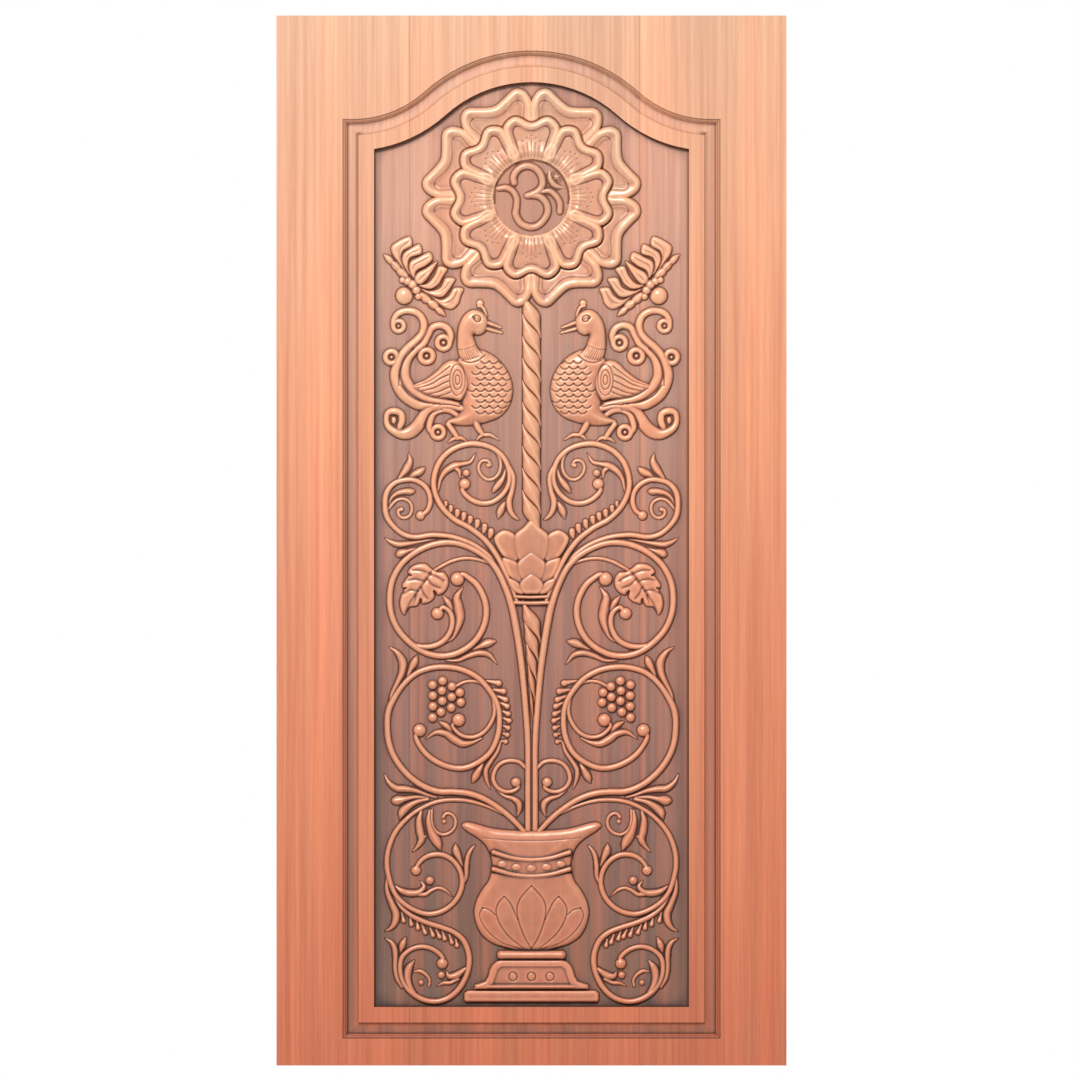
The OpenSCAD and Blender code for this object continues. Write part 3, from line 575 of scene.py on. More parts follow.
# Where the arched part of the moulding meets its corner, and how close two points are to be one
CORNER_X = 0.356753
CORNER_Z = 1.85
SAME_POINT = 0.00001
LEFT_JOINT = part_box("centre_board")[0][0]
RIGHT_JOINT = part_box("centre_board")[1][0]


def close_seams(work):
    """Splits each open edge where a point of the other side lies on it and joins the two sides"""
    rim = [edge for edge in work.edges if edge.is_boundary]
    points = {point for edge in rim for point in edge.verts}
    for edge in rim:
        start, end = edge.verts
        along = end.co - start.co
        splits = []
        for point in points - {start, end}:
            share = (point.co - start.co).dot(along) / along.length_squared
            if 0 < share < 1 and (start.co + share * along - point.co).length < 2 * SAME_POINT:
                splits.append(share)
        left = 1.0
        for share in sorted(splits, reverse=True):
            part = next(e for e in start.link_edges if e.other_vert(start) is end)
            end = bmesh.utils.edge_split(part, start, share / left)[1]
            left = share
    bmesh.ops.remove_doubles(work, verts=work.verts, dist=2 * SAME_POINT)


def finished_board(node, wood):
    """The board as it is packed, without the hair-thin skin and the slivers left where two cuts meet"""
    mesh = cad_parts[node].data.copy()
    mesh.name = node + "_finished"
    work = bmesh.new()
    work.from_mesh(mesh)
    bmesh.ops.remove_doubles(work, verts=work.verts, dist=SAME_POINT)
    skin = [face for face in work.faces if abs(face.normal.x) > 0.99 and all(
        abs(abs(v.co.x) - CORNER_X) < 2 * SAME_POINT and v.co.z > CORNER_Z for v in face.verts)]
    bmesh.ops.delete(work, geom=skin, context="FACES")
    slivers = [face for face in work.faces
               if face.calc_area() < SAME_POINT * max(edge.calc_length() for edge in face.edges)]
    bmesh.ops.delete(work, geom=slivers, context="FACES")
    close_seams(work)
    work.to_mesh(mesh)
    work.free()
    mesh.materials.clear()
    mesh.materials.append(wood)
    piece = bpy.data.objects.new(node + "_finished", mesh)
    bpy.context.scene.collection.objects.link(piece)
    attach(piece, "root")
    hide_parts(node)


for node, shift, tint, joints in (("hinge_board", 0.0, (1.0, 1.0, 1.0), [LEFT_JOINT]),
                                  ("centre_board", 3.7, (0.985, 0.975, 0.97), [LEFT_JOINT, RIGHT_JOINT]),
                                  ("lock_board", 8.1, (1.0, 0.985, 0.975), [RIGHT_JOINT])):
    finished_board(node, board_wood(node + "_wood", shift, tint, joints))
CARVED = carving_wood()


def carved_piece(name, mesh, *nodes):
    """A finished piece of carving that stands for its solids"""
    mesh.materials.clear()
    mesh.materials.append(CARVED)
    piece = bpy.data.objects.new(name, mesh)
    bpy.context.scene.collection.objects.link(piece)
    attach(piece, "root")
    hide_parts(*nodes)


def carved_pair(name, relief, node):
    """A piece of carving on the left and its mirror image on the right"""
    carved_piece("left_" + name, relief.mesh("left_" + name), "left_" + node)
    carved_piece("right_" + name, relief.mesh("right_" + name, True), "right_" + node)


# Vines, drawn for the left side

# A strand is a run of across, down and width; an outline or a cut is one of across and down
SCROLLS = [
    # Scroll under the peacock
    [517, 602, 4, 511, 586, 5.5, 504.5, 571, 5.5, 497.5, 557, 5.5, 486, 541, 5.5, 470, 528, 5.5,
     454, 519, 5.5, 442, 507, 5.5, 435, 493, 5.5, 434, 479, 5.5, 439, 463, 5.5, 450, 451, 5.5,
     465, 444.5, 5.5, 478, 444, 5.5, 492, 448, 5, 503, 457, 5, 509, 470, 5, 509, 483, 5, 503, 494, 5,
     492, 502, 5, 480, 503, 5, 469, 498, 5, 462.5, 490, 4.5, 464.2, 485, 4.2],
    # Small outer scroll
    [496, 567, 4, 490, 557.5, 5, 478, 547.5, 5, 465, 541, 5, 450, 536.5, 5, 432, 535, 5, 415, 537, 5,
     404, 534.5, 5, 394, 527, 5, 387, 517, 5.5, 385, 505, 5.5, 387, 492, 5.5, 394, 483.5, 5, 404, 480, 5,
     414, 480, 5, 424, 485.5, 5, 429.5, 494, 5, 430, 504, 5, 427, 511, 4.5, 422, 514.8, 4.2],
    # Main stem and the circle round the vine leaf
    [528, 829, 6, 528, 790, 6, 528, 745, 6, 525, 700, 6, 521, 660, 6.5, 516, 627, 7, 511.5, 605, 7,
     505, 585.5, 7, 496, 568, 6.5, 485, 556.5, 6, 470, 547.5, 6, 455, 542.8, 6, 440, 543, 6, 425, 547.3, 6,
     410, 556, 6, 399, 567.5, 6, 392, 582, 6, 389.7, 598, 6, 391.5, 614.5, 6, 398, 629.5, 6, 408, 641, 6,
     421, 650.5, 6, 436, 655.5, 6, 452, 654.7, 6, 466, 648.5, 6, 477.5, 638, 6, 484.5, 624, 6,
     486.3, 610, 6, 484, 598, 6, 477, 585, 6, 469, 578, 5.5, 462, 574.5, 5, 458.5, 577.5, 4.5],
    # Circle round the grapes
    [523.7, 831, 5, 510, 817, 5.5, 496, 806, 5.5, 482, 798, 6, 468, 793.3, 6, 453, 791.8, 6, 438, 791.3, 6,
     422, 785.5, 6, 407, 774, 6, 396, 760, 6, 389.5, 745, 6, 387.3, 728, 6, 388.5, 711, 6, 394, 698.5, 6,
     403, 685, 5.5, 416, 673.5, 5.5, 431, 668, 5.5, 447, 667, 5.5, 463, 670, 5.5, 478, 678, 5.5,
     490, 691, 5.5, 497.5, 705, 5.5, 499.5, 721, 5.5, 497.5, 737, 5.5, 490, 752.5, 5.5, 478, 762.5, 5.5,
     463, 768, 5.5, 448, 766.5, 5.5, 433, 759.5, 5.5, 422, 749, 5, 415.8, 736, 4.5, 418.5, 731.5, 4.2],
    # Scroll beside the vase
    [505, 815, 2.5, 489, 807, 3, 470, 801.2, 3.5, 452, 799.8, 3.8, 436, 802, 4, 420, 809, 4,
     406, 819.5, 4.5, 395, 833, 5, 388.5, 849, 5, 386.8, 864, 5, 389, 878, 5, 394, 892, 5, 402, 902, 5,
     414, 910, 5, 428, 914, 5, 441, 911.5, 5, 452, 904.5, 5, 459.5, 894, 5, 462.3, 882, 5, 460, 870.5, 5,
     453, 860.5, 5, 443, 855, 5, 432, 854.8, 5, 423, 859, 4.5, 417.5, 865.5, 4, 416.2, 869.5, 4],
    # Lowest scroll
    [394, 897, 2.5, 402, 908, 4, 414, 917, 5, 428, 923, 5, 442, 927.5, 5, 454, 932.3, 5, 463, 940, 5.5,
     468, 951, 5.5, 469.3, 962, 5.5, 466.5, 975, 5.5, 460, 987.5, 5.5, 450, 997, 5.5, 437, 1001.5, 5.5,
     424, 1000, 5.5, 412, 993, 5.5, 403.5, 982.5, 5, 400, 970, 5, 401.5, 958.5, 5, 409, 950.5, 4.5,
     420, 946.7, 4.5, 430, 948, 4.5, 438.5, 953, 4.5, 442.5, 958, 4.5, 442.4, 962.5, 4.2]]

TENDRILS = [
    # Scroll under the peacock
    [500, 453, 2, 508, 465, 4, 513, 477, 5, 512, 490, 5, 509, 502, 6, 511, 512, 5, 516, 518, 3,
     519.5, 520, 0.5],
    [489, 446, 2.5, 497, 453, 3, 500.7, 462, 3, 499, 473, 3, 493, 479, 3, 486, 479, 3, 480, 473, 3,
     478.7, 466, 3, 482, 461, 3, 488, 461, 3, 490.5, 465, 3],
    [454, 467, 4, 459, 471, 4, 460, 478, 1],
    # Small outer scroll
    [388, 510, 2, 391.5, 505, 3, 397, 500, 3, 404, 499, 3, 410, 502.5, 3, 412, 509, 3, 409.5, 515.5, 3,
     404, 518, 3, 399, 515.5, 3, 398.5, 510.5, 3.4, 401.5, 509.4, 4.2],
    # Circle round the vine leaf
    [499, 572, 2, 491, 564.5, 2.8, 480, 560, 3, 466, 558.2, 3.2, 452, 561, 3.2, 441, 566.5, 3.2,
     435, 570, 2.5],
    [409, 642, 2.5, 420, 646.5, 5, 433, 646, 5.5, 444, 640.5, 5.5, 451, 630, 5.5, 452.5, 620, 5.5,
     449.5, 611.5, 5, 443, 607.5, 4.5, 438.5, 612, 4.5],
    # Circle round the grapes
    [486, 686, 2.5, 476, 681.5, 3, 466, 681.6, 3, 459, 684.5, 3, 454, 688, 3],
    [487, 687, 2.5, 493, 699, 3.5, 494.7, 712, 4, 491.5, 722, 4, 484, 732, 4, 474, 737, 4, 463, 736, 4,
     455, 730, 3.8, 452.5, 725, 3.5, 457, 721, 3.5],
    # Small scroll over the vase
    [526, 768, 4, 519, 762, 4, 509, 760.7, 4, 500, 764, 4, 494.5, 771.5, 4, 493.3, 780, 4, 497.5, 787.5, 4,
     505, 791.5, 4, 513, 791, 4, 518.5, 787, 3.5, 516.6, 783.5, 3.5],
    # Scroll beside the vase
    [432, 810, 2, 431.5, 820, 3, 434.5, 829.5, 3, 441.5, 834.4, 3, 449, 833, 3, 454.7, 827, 3,
     455.2, 819, 3, 451, 814, 3, 446, 813.6, 3, 443.3, 817, 3.5],
    [418, 894, 4, 425, 894.3, 4, 432, 890, 3.5, 438, 888, 3, 445, 890, 3, 452, 896, 0.5],
    # Lowest scroll
    [458, 979, 3.5, 450, 982.7, 3.5, 443.5, 983, 3, 437, 986, 0.5],
    [414, 971.5, 1.5, 420, 971, 3.5, 426, 974.5, 3.5, 429.5, 980, 2.5, 429, 986, 2]]

BLADES = [
    # Scroll under the peacock
    [506, 467, 1.5, 503.5, 477, 4, 499, 484, 6.5, 495, 489, 5, 492.5, 493, 1],
    [438, 491, 2, 440.5, 479, 4, 446, 471, 6, 454, 466, 7, 462, 464, 4.5, 470, 462, 3.5, 475.5, 453.5, 0.5],
    [506, 501, 1.5, 503.5, 505, 5, 500.5, 511, 7, 498, 518.5, 1],
    # Small outer scroll
    [388.5, 505, 1.5, 391.5, 498, 3, 397, 493.5, 4.5, 405, 491.5, 6, 411, 491.5, 6, 415, 491, 1],
    [397, 481, 2, 402, 475, 5, 407, 468, 7.5, 410, 461, 5.5, 408.8, 453.3, 0.5],
    [410.5, 476.5, 3, 415, 474, 6.5, 420, 471.5, 7, 425, 467.5, 1],
    [385, 538, 0.5, 391, 542, 4, 398.5, 544.5, 6, 407, 543.8, 5, 418, 542, 3, 430, 540, 2, 440, 539.3, 1.5],
    [397.5, 556, 2, 400.5, 553.5, 8, 408, 551, 4.5, 419, 547, 1.5],
    # Circle round the vine leaf
    [444, 643.5, 1.5, 452.5, 638, 3, 457, 629, 6, 459.5, 617, 9, 458, 606, 9, 457, 597, 6.5, 463, 587, 0.5],
    [453, 611, 2, 448.5, 603, 6, 443, 595.5, 0.8],
    [472, 650, 1.5, 480, 646.5, 5, 488, 643, 8, 494.5, 641.5, 3],
    [446, 660.3, 1.5, 458, 660.3, 3.5, 468, 656, 5, 480, 652.8, 6, 489, 655, 5, 497, 664, 0.5],
    # Circle round the grapes
    [389, 647, 0.5, 397, 652.5, 5, 402.5, 662, 8, 402, 672, 7, 397.5, 683, 5.5, 392, 694, 4, 389, 705, 2],
    [406.8, 678, 2, 411, 669, 5.5, 414.5, 662, 7, 417, 655.5, 0.8],
    [482, 738, 1.5, 472, 742.5, 4, 463, 743.5, 7, 454, 739, 8, 446, 733.5, 7, 436, 732.5, 4.5,
     426, 738.8, 0.5],
    [452, 732, 2, 446.5, 726, 6, 440, 722, 2],
    [500.5, 742, 2.5, 497, 752, 4, 491, 761, 4.5, 486, 770, 5, 486.5, 779, 4, 490, 789, 0.5],
    [484, 762, 1.5, 479, 770, 6, 475.5, 776.5, 7, 472.3, 783, 0.8],
    # Small scroll over the vase
    [497, 791, 1.5, 505, 796, 3.5, 513, 798.5, 5, 518.5, 803, 6.5, 519.5, 809, 5, 517.3, 816.5, 0.5],
    # Scroll beside the vase
    [384.5, 774, 0.5, 388.5, 782, 4, 396, 788, 6.5, 406, 789, 6.5, 417, 791, 4.5, 428, 795, 3,
     437, 797.5, 1.5],
    [392.5, 800.5, 3, 397, 800.5, 9, 405, 799, 6, 415, 797.2, 4, 428, 797.5, 2],
    [400, 819, 1.5, 402.5, 812, 8, 408, 806.5, 7.5, 417, 801.7, 5, 428, 799.3, 3],
    [421.5, 810, 2.5, 419, 820, 6, 420, 831, 7.5, 421.5, 839, 7, 418, 846, 4, 412.5, 851.5, 0.8],
    [421, 838, 5, 424, 837, 4, 427, 835.5, 1],
    [429.5, 810.5, 2, 428.5, 820, 5, 431, 831, 7.5, 436.5, 841, 9, 441, 851, 0.8],
    [463, 886, 2, 466, 876, 4.5, 466.5, 865, 5, 468, 856, 4.5, 470.5, 850.5, 3.5, 475, 845, 0.5],
    [462.5, 866, 2, 458.5, 857, 6, 456, 850.5, 7, 455.5, 843.5, 0.8],
    [395, 886, 2, 402, 891, 6, 411, 893, 7, 419, 892, 6, 424, 886.5, 4, 420.5, 881, 0.8],
    # Lowest scroll
    [386.5, 878, 2.5, 387.5, 892, 5, 392, 904, 6.5, 396, 914, 7.5, 395, 922, 6.5, 391, 928, 4,
     385, 931.3, 0.5],
    [385, 938.3, 0.5, 391, 942, 4, 394.5, 948, 5.5, 395.5, 958, 5.5, 395.5, 969, 5, 397.5, 979, 4.5,
     402, 987, 3],
    [400.5, 952, 2, 402.5, 945, 6.5, 405.8, 937, 0.8],
    [468, 966, 2.5, 461.5, 972, 6, 454.5, 976, 7.5, 449, 976, 5, 446.5, 971.5, 1],
    [418, 996, 2, 410.5, 988, 6, 407, 978, 8, 409, 968, 7, 414.5, 960, 0.8]]

# Knobs that close the strands: across, down and radius
KNOBS = [(464.7, 484, 5.6), (420.5, 515.5, 4.7), (457.5, 579, 7), (437.5, 613.5, 6.1), (419.6, 730.3, 6.5),
         (458.6, 720, 6.6), (516, 782.3, 5), (416, 870.5, 5), (442.2, 963.5, 5.5)]

# Fingers from a strand to a berry: where the finger leaves, and the berry with its radius
GRAPE_FINGERS = [(487, 681, 499, 683.3, 3.5), (492, 689.5, 503.7, 691.5, 3.4),
                 (496, 695.6, 505.7, 699.7, 3.3), (499, 702, 507.3, 706.4, 3.2),
                 (502, 711, 508.3, 714, 3.1), (503, 718, 509.3, 720.8, 3), (503.7, 726, 508.3, 728, 2.9),
                 (503.7, 733.6, 507.3, 735, 2.8), (502, 741, 505.7, 741.8, 2.7)]
LOW_FINGERS = [(402, 914, 403.7, 921, 2.6), (410, 917, 411.4, 924.6, 2.6), (417, 921, 418, 928.2, 2.6),
               (422, 925, 425.2, 932.8, 2.6), (430.4, 928.2, 432.9, 935.4, 2.6),
               (436.5, 930.3, 439.6, 936.9, 2.6), (442.7, 932.3, 444.7, 939, 2.6),
               (449.8, 936, 451.9, 942.6, 2.6), (456, 940.5, 457, 945.6, 2.6)]
PEARLS = [(446, 502.4, 2), (451, 507.2, 2.7), (457.5, 511.5, 3), (464, 514.5, 3), (470.4, 518, 3),
          (477.5, 521.7, 3.1), (484.7, 526.2, 3.2), (491, 531, 3.4)]
EYES = [(488.3, 465.5, 2.5), (466.3, 473, 4), (444.2, 821.5, 2.5), (429.8, 880.5, 4.6), (441.3, 975, 4),
        (421, 982.5, 3)]


def vine_relief():
    relief = Relief(380, 436, 531, 1008)
    for path in SCROLLS + TENDRILS:
        relief.strand(path, rise=0.6, widen=1.1)
    for path in BLADES:
        relief.strand(path, rise=0.55, high=7.5, shape=ridged, widen=1.15)
    for knob in KNOBS:
        relief.knob(*knob)
    for x0, y0, x1, y1, r in GRAPE_FINGERS + LOW_FINGERS:
        relief.strand([(1.2 * x0 - 0.2 * x1, 1.2 * y0 - 0.2 * y1, 2.2),
                       (0.5 * (x0 + x1), 0.5 * (y0 + y1), 1.2 * r), (x1, y1, 1.9 * r)], rise=0.55)
    for across, down, r in PEARLS:
        relief.strand([(across, down, 1.9 * r), (across - 0.3, down + 3, 1.8 * r),
                       (across - 1.2, down + 6, 1.2 * r)], rise=0.5)
    return relief


carved_pair("vine_carving", vine_relief(), "vine")

# Vine leaf with its veins

LEAF_EDGE = [437.5, 571.5, 443.7, 572, 447.8, 577, 448.8, 583, 446.8, 589.5, 442.7, 593.6, 437.5, 595,
             435.5, 592.6, 434.5, 597.7, 430.4, 601.8, 422, 603.8, 421, 601, 417, 606, 410, 607.4,
             404.5, 615, 401.6, 612, 399.6, 604, 401, 595.6, 403.7, 590.5, 402, 585.4, 405.7, 579,
             408.8, 574.6, 407.8, 572, 412, 566, 419, 563.3, 426.3, 563.8, 431.4, 568]
LEAF_VEINS = [[432, 571, 422, 585, 412, 600, 405, 613], [431, 574, 438, 577, 444, 581], [427, 579, 433, 585,
              440, 588], [421, 588, 424, 594, 428, 599], [416, 595, 415, 600, 414, 604], [429, 573,
              420, 570, 412, 570], [424, 581, 415, 579, 408, 580], [418, 591, 410, 590, 404, 593]]
LEAF_NOTCHES = [[406.5, 573.5, 411, 575.5], [401.5, 589.5, 406, 588], [435.5, 597, 434, 591], [420.5, 605,
                420.5, 599]]


def leaf_relief():
    relief = Relief(396, 558, 452, 618, FINE_CELL)
    relief.cushion(LEAF_EDGE, high=6.0, roll=7, crown=3)
    for vein in LEAF_VEINS:
        relief.groove(vein, width=8.0, depth=1.4)
        relief.groove(vein, width=2.0, depth=1.0)
    relief.grooves(LEAF_NOTCHES, width=3.0, depth=5.0)
    return relief


carved_pair("leaf_carving", leaf_relief(), "vine_leaf")

# Lotus sprays

# Outlines of the petals, each with its height, the middle one on top
LOTUS_PETALS = [([391, 247, 396, 242, 410.4, 236.5, 412.2, 246, 403.4, 251.8, 401.4, 258.2, 403.6, 265.8,
                407.8, 274.5, 398.5, 263, 393, 256], 7), ([403.2, 253, 409.2, 248.3, 420, 244.1,
                421.8, 253.9, 410.5, 258.6, 408.7, 266.5, 411, 276, 403.2, 265.8, 401.4, 259], 8),
                ([409.6, 262, 416.8, 257.3, 430.2, 252.2, 433, 259, 427.2, 266, 417.4, 271.6, 414, 279,
                408.6, 269], 9), ([453.8, 287.6, 463.6, 288.6, 461, 296.4, 458.3, 304.3, 451.9, 309.4,
                443.6, 307.5, 433, 298.5, 424, 291, 439.8, 299.4, 448.1, 295.6], 7), ([445.5, 277.7,
                455.6, 279, 452.1, 286.2, 448.7, 291.5, 443, 297.3, 433.4, 296.6, 420.5, 288.5,
                430.2, 290.5, 439.8, 287.3], 8), ([438.9, 265.9, 447.6, 268.8, 443.2, 277.3, 439.1, 284.5,
                430.2, 289.6, 418, 285.5, 427, 282.8, 433.4, 275.8], 9), ([425.7, 267.5, 431, 264.2,
                437.7, 261.3, 436, 266, 432.3, 272.4, 425.9, 281.3, 420.5, 285.2, 415.6, 283.5,
                413.8, 278.5, 416.6, 272.8], 11)]
LOTUS_CALYX = [(402.8, 280, 3.6), (407.8, 281.3, 4.6), (412.8, 284.5, 5.4), (416.2, 290, 5),
               (418.4, 296.3, 3.8)]
LOTUS_SEPALS = [[407.5, 277.5, 5, 402, 272.5, 10, 397, 268.5, 4], [401, 272, 4, 396, 266, 9,
                391.5, 261.5, 3.5], [394, 265, 4, 389.5, 259.5, 7.5, 384, 254.8, 1.5], [420.5, 293.5, 5,
                426, 298.5, 10, 431, 302, 4.5], [428, 301, 4.5, 433.5, 304.5, 10, 438, 308.5, 4],
                [435.5, 307, 4.5, 440, 311, 7.5, 445, 315.5, 2]]
LOTUS_CUTS = [[417.5, 281.5, 423, 276.5, 429, 271.5, 434, 266], [406, 270.5, 399.5, 259, 400, 249.5,
              409.5, 241.5], [409, 271.5, 405.5, 260, 411, 253.5, 419, 250.5], [412.5, 274, 413.5, 266,
              421, 261.5, 430, 257], [421, 286.8, 432, 285.5, 438.5, 278, 442, 269], [424, 290, 436, 293,
              445, 288, 450.5, 281], [430, 296.5, 444, 303.5, 452.5, 299.5, 457.5, 290.5], [404, 275,
              394, 266, 387, 258], [424, 297, 434, 305, 442, 312]]
# Bud under the flower: across, down, radius and height
LOTUS_BUD = (404.3, 295.8, 8.9, 12)


def lotus_relief():
    relief = Relief(378, 230, 470, 322, FINE_CELL)
    for outline, high in LOTUS_PETALS:
        relief.cushion(outline, high, roll=8)
    for path in LOTUS_SEPALS:
        relief.strand(path, rise=0.5, high=7, shape=ridged)
    relief.grooves(LOTUS_CUTS, width=2.4, depth=1.2)
    for across, down, r in LOTUS_CALYX:
        relief.knob(across, down, r, 1.9 * r)
    relief.knob(*LOTUS_BUD)
    return relief


carved_pair("lotus_carving", lotus_relief(), "lotus_spray")

# Peacocks

PEACOCK_BODY = [479.7, 350, 488.8, 352.7, 497.3, 358.3, 505.8, 368.2, 510.7, 378, 512.8, 389.4,
                511.4, 400.7, 506.5, 410.5, 498.7, 417.6, 488.8, 421.8, 477.5, 424.6, 466.3, 426, 455, 425,
                446.5, 421.8, 455, 416, 460.6, 410, 462, 400, 464, 388, 460, 374, 457, 360]
PEACOCK_WING = [412.7, 386, 425.4, 379.5, 436.6, 371, 443.7, 364, 450.7, 360.5, 457.8, 361.2, 463.4, 365.4,
                467.7, 372.5, 469.8, 381, 468.4, 389.4, 464.9, 396.4, 460.6, 400.7, 452.2, 399.3,
                441, 398.5, 429.6, 396.4, 419.7, 392.2]
PEACOCK_NECK = [474, 309.3, 468, 311.5, 462.5, 317, 458.5, 326, 457, 338, 457.5, 350, 461, 360, 470, 364,
                480, 361, 486, 354, 479, 349, 475.5, 342, 474, 335, 478, 335.5, 484, 333, 487.5, 327,
                487.5, 319, 483, 312.5]
# Tail feathers
TAIL = [[432, 405, 9, 420, 405, 11, 411, 400.5, 12, 403, 394, 12, 397.5, 385, 11.5, 395.3, 375, 11,
        397.5, 364, 10, 402, 355, 9, 408.4, 347.5, 8.5, 416.5, 340.5, 8.5, 422.5, 333, 8, 424, 324.5, 8,
        420.5, 316, 7.5, 413.5, 311.5, 7.5, 405.6, 310.8, 7, 398, 313.8, 7, 394, 320, 6.5, 393.3, 325.5, 6],
        [457, 405, 7, 444, 402, 8, 430, 399.5, 9, 418.5, 394, 10, 409.5, 386, 10.5, 405, 376.5, 10.5,
        405.3, 366, 10, 409, 357, 9, 416, 350, 8, 423, 344, 8, 427.5, 336, 7.5, 432, 328, 7.5,
        440, 325.3, 7.5, 447.3, 328.5, 7.5, 450.5, 335, 7.5, 449.8, 342, 6.5], [462, 408.5, 7.5,
        447, 405.5, 8.5, 435.2, 406.5, 10, 426.8, 411.5, 11, 422, 419, 12, 417, 426.5, 13, 410.5, 432, 13,
        402.5, 434, 11, 394.5, 431.5, 8.5, 388.3, 426.5, 7, 386.3, 420, 6, 388, 413, 6.5, 394, 411, 7.5,
        400.5, 413.5, 7.5, 402, 420, 7.5, 399.8, 427, 6.5, 397.5, 431.5, 4], [457, 415, 6, 450.5, 410.5, 7,
        442, 409.3, 7.5, 434, 413, 7.5, 430.3, 420, 7.5, 429.5, 428, 7, 432.2, 433, 6]]
# Curls that close the feathers: centre, radius of the ring, width of the strand and radius of its bead
CURLS = [(398.5, 326, 5.2, 5.6, 2), (443.5, 342.8, 6.2, 6, 2.3), (426.6, 356, 6.3, 6.4, 2.2),
         (391.5, 357.2, 5.9, 6.2, 2), (438, 432.3, 5.8, 5.8, 2.2)]
TAIL_CUTS = [[399, 386, 399.5, 374, 404, 360, 414, 348.5], [401, 385, 410, 395.5, 424, 402, 440, 404],
             [424, 425, 430, 414, 442, 409.5], [440, 404.8, 450, 404.6, 460, 406.8]]
PEACOCK_LEGS = [[448.5, 424.5, 6, 453, 431, 6, 457.8, 438.3, 4.8], [457.5, 437.5, 4, 452.5, 439.3, 3.6,
                448, 442.5, 1], [457.5, 437.5, 4, 462, 438.3, 3.6, 466.5, 441, 1], [474.5, 419, 8,
                478.5, 428.5, 6.5, 482.7, 434.5, 4.8], [482.5, 435, 4, 479.5, 437, 3.6, 476.5, 440.5, 1],
                [482.5, 435, 4, 490, 435, 4, 499, 440, 1]]
BEAK = [[485.5, 322, 5.5, 493, 324.8, 4.2, 501, 327.6, 2.2], [485.5, 328, 5, 493, 330.3, 4,
        501.8, 332.8, 2.2]]
CREST = [478.5, 306, 3.4, 481.5, 306.5, 3.4, 484.3, 310, 3.4, 486.5, 316, 2.4]
COLLAR = [[458.5, 349.5, 466, 349, 472, 347, 477, 344.5], [461.5, 360, 469, 362.5, 478, 360.5, 485.5, 354.5]]
COLLAR_LINES = 9
EYE_EDGE = [472.7, 317, 476, 315.2, 480.3, 317.3, 480, 320.8, 476.5, 321.3, 472.7, 317]
EYE_HOLLOW = [474.5, 317.8, 478.8, 319.2]
# Beads in the lowest feather, on the crest and in the eye: across, down, radius and height
TAIL_BEAD = (393.8, 420.3, 2.6, 4.5)
CREST_BEAD = (480, 303.3, 3.7, 5)
PUPIL = (476.8, 318.5, 1.5, 2.2)
WING_CUTS = [[416, 385.5, 430, 380.5, 441, 373, 450, 366], [418, 388, 431, 384, 441, 378, 449, 374.5],
             [422, 391, 434, 388, 443, 383.5, 449, 381], [429, 394, 438, 392, 446, 388.5, 450, 387],
             [438, 396.5, 445, 394.5, 451, 392]]
WING_OVAL = (457.6, 379.8, 7.7, 15.8)
# Scales on the breast: the first one, their rows and columns, the step of each and the arc of one
SCALE_FIRST = (463, 361)
SCALE_ROWS = 10
SCALE_COLUMNS = 9
SCALE_DROP = 5.6
SCALE_WIDE = 8.8
SCALE_ARC = ((0, 0), (0.25, 1.9), (0.5, 2.5), (0.75, 1.9), (1, 0))
# Level of the middle of the breast, and its edges there
BREAST = 388
BREAST_LEFT = 468
BREAST_RIGHT = 512


def breast_scales(relief):
    for row in range(SCALE_ROWS):
        down = SCALE_FIRST[1] + row * SCALE_DROP
        shift = 0.5 * SCALE_WIDE * (row % 2)
        low = BREAST_LEFT + 0.35 * abs(down - BREAST)
        high = BREAST_RIGHT - 0.011 * (down - BREAST)**2
        for k in range(SCALE_COLUMNS):
            left = SCALE_FIRST[0] + shift + k * SCALE_WIDE
            if low < left + 3 and left + 5 < high:
                arc = [(left + share * SCALE_WIDE, down + drop) for share, drop in SCALE_ARC]
                relief.groove(arc, width=2.5, depth=2.6)


def peacock_relief():
    relief = Relief(380, 296, 518, 446)
    for path in TAIL:
        relief.strand(path, rise=0.55, high=9.5)
    for across, down, r, width, bead in CURLS:
        relief.strand([(*point, width) for point in ring(across, down, r, r, 17)], rise=0.6)
        relief.knob(across, down, bead, 4)
    relief.knob(*TAIL_BEAD, stretch=1.5)
    relief.grooves(TAIL_CUTS, width=2.4, depth=2.6)
    for path in PEACOCK_LEGS:
        relief.strand(path, rise=0.6)
    relief.cushion(PEACOCK_BODY, high=10.5, roll=24, crown=4)
    breast_scales(relief)
    relief.cushion(PEACOCK_NECK, high=10, roll=13, crown=3)
    for path in BEAK:
        relief.strand(path, rise=0.6, shape=ridged)
    relief.strand(CREST, rise=0.7)
    relief.knob(*CREST_BEAD)
    relief.groove(COLLAR[0], width=1.8, depth=1.8)
    relief.groove(COLLAR[1], width=2.2, depth=2.4)
    for k in range(COLLAR_LINES):
        t = k / (COLLAR_LINES - 1)
        line = [(460 + 16 * t, 350.5 - 4 * t**2), (463.5 + 19 * t, 360 - 6.5 * t**2)]
        relief.groove(line, width=1.8, depth=1.6)
    relief.groove(EYE_EDGE, width=2.6, depth=3.6)
    relief.groove(EYE_HOLLOW, width=5, depth=3.0)
    relief.knob(*PUPIL, base=8.5)
    relief.cushion(PEACOCK_WING, high=9, roll=11, crown=3, base=2)
    relief.grooves(WING_CUTS, width=2.4, depth=2.4)
    across, down, wide, high = WING_OVAL
    for share in (1.0, 0.62, 0.3):
        relief.groove(ring(across, down, share * wide, share * high, 13), width=2.0, depth=2.0)
    return relief


carved_pair("peacock_carving", peacock_relief(), "peacock")

# Lotus calyx on the stem

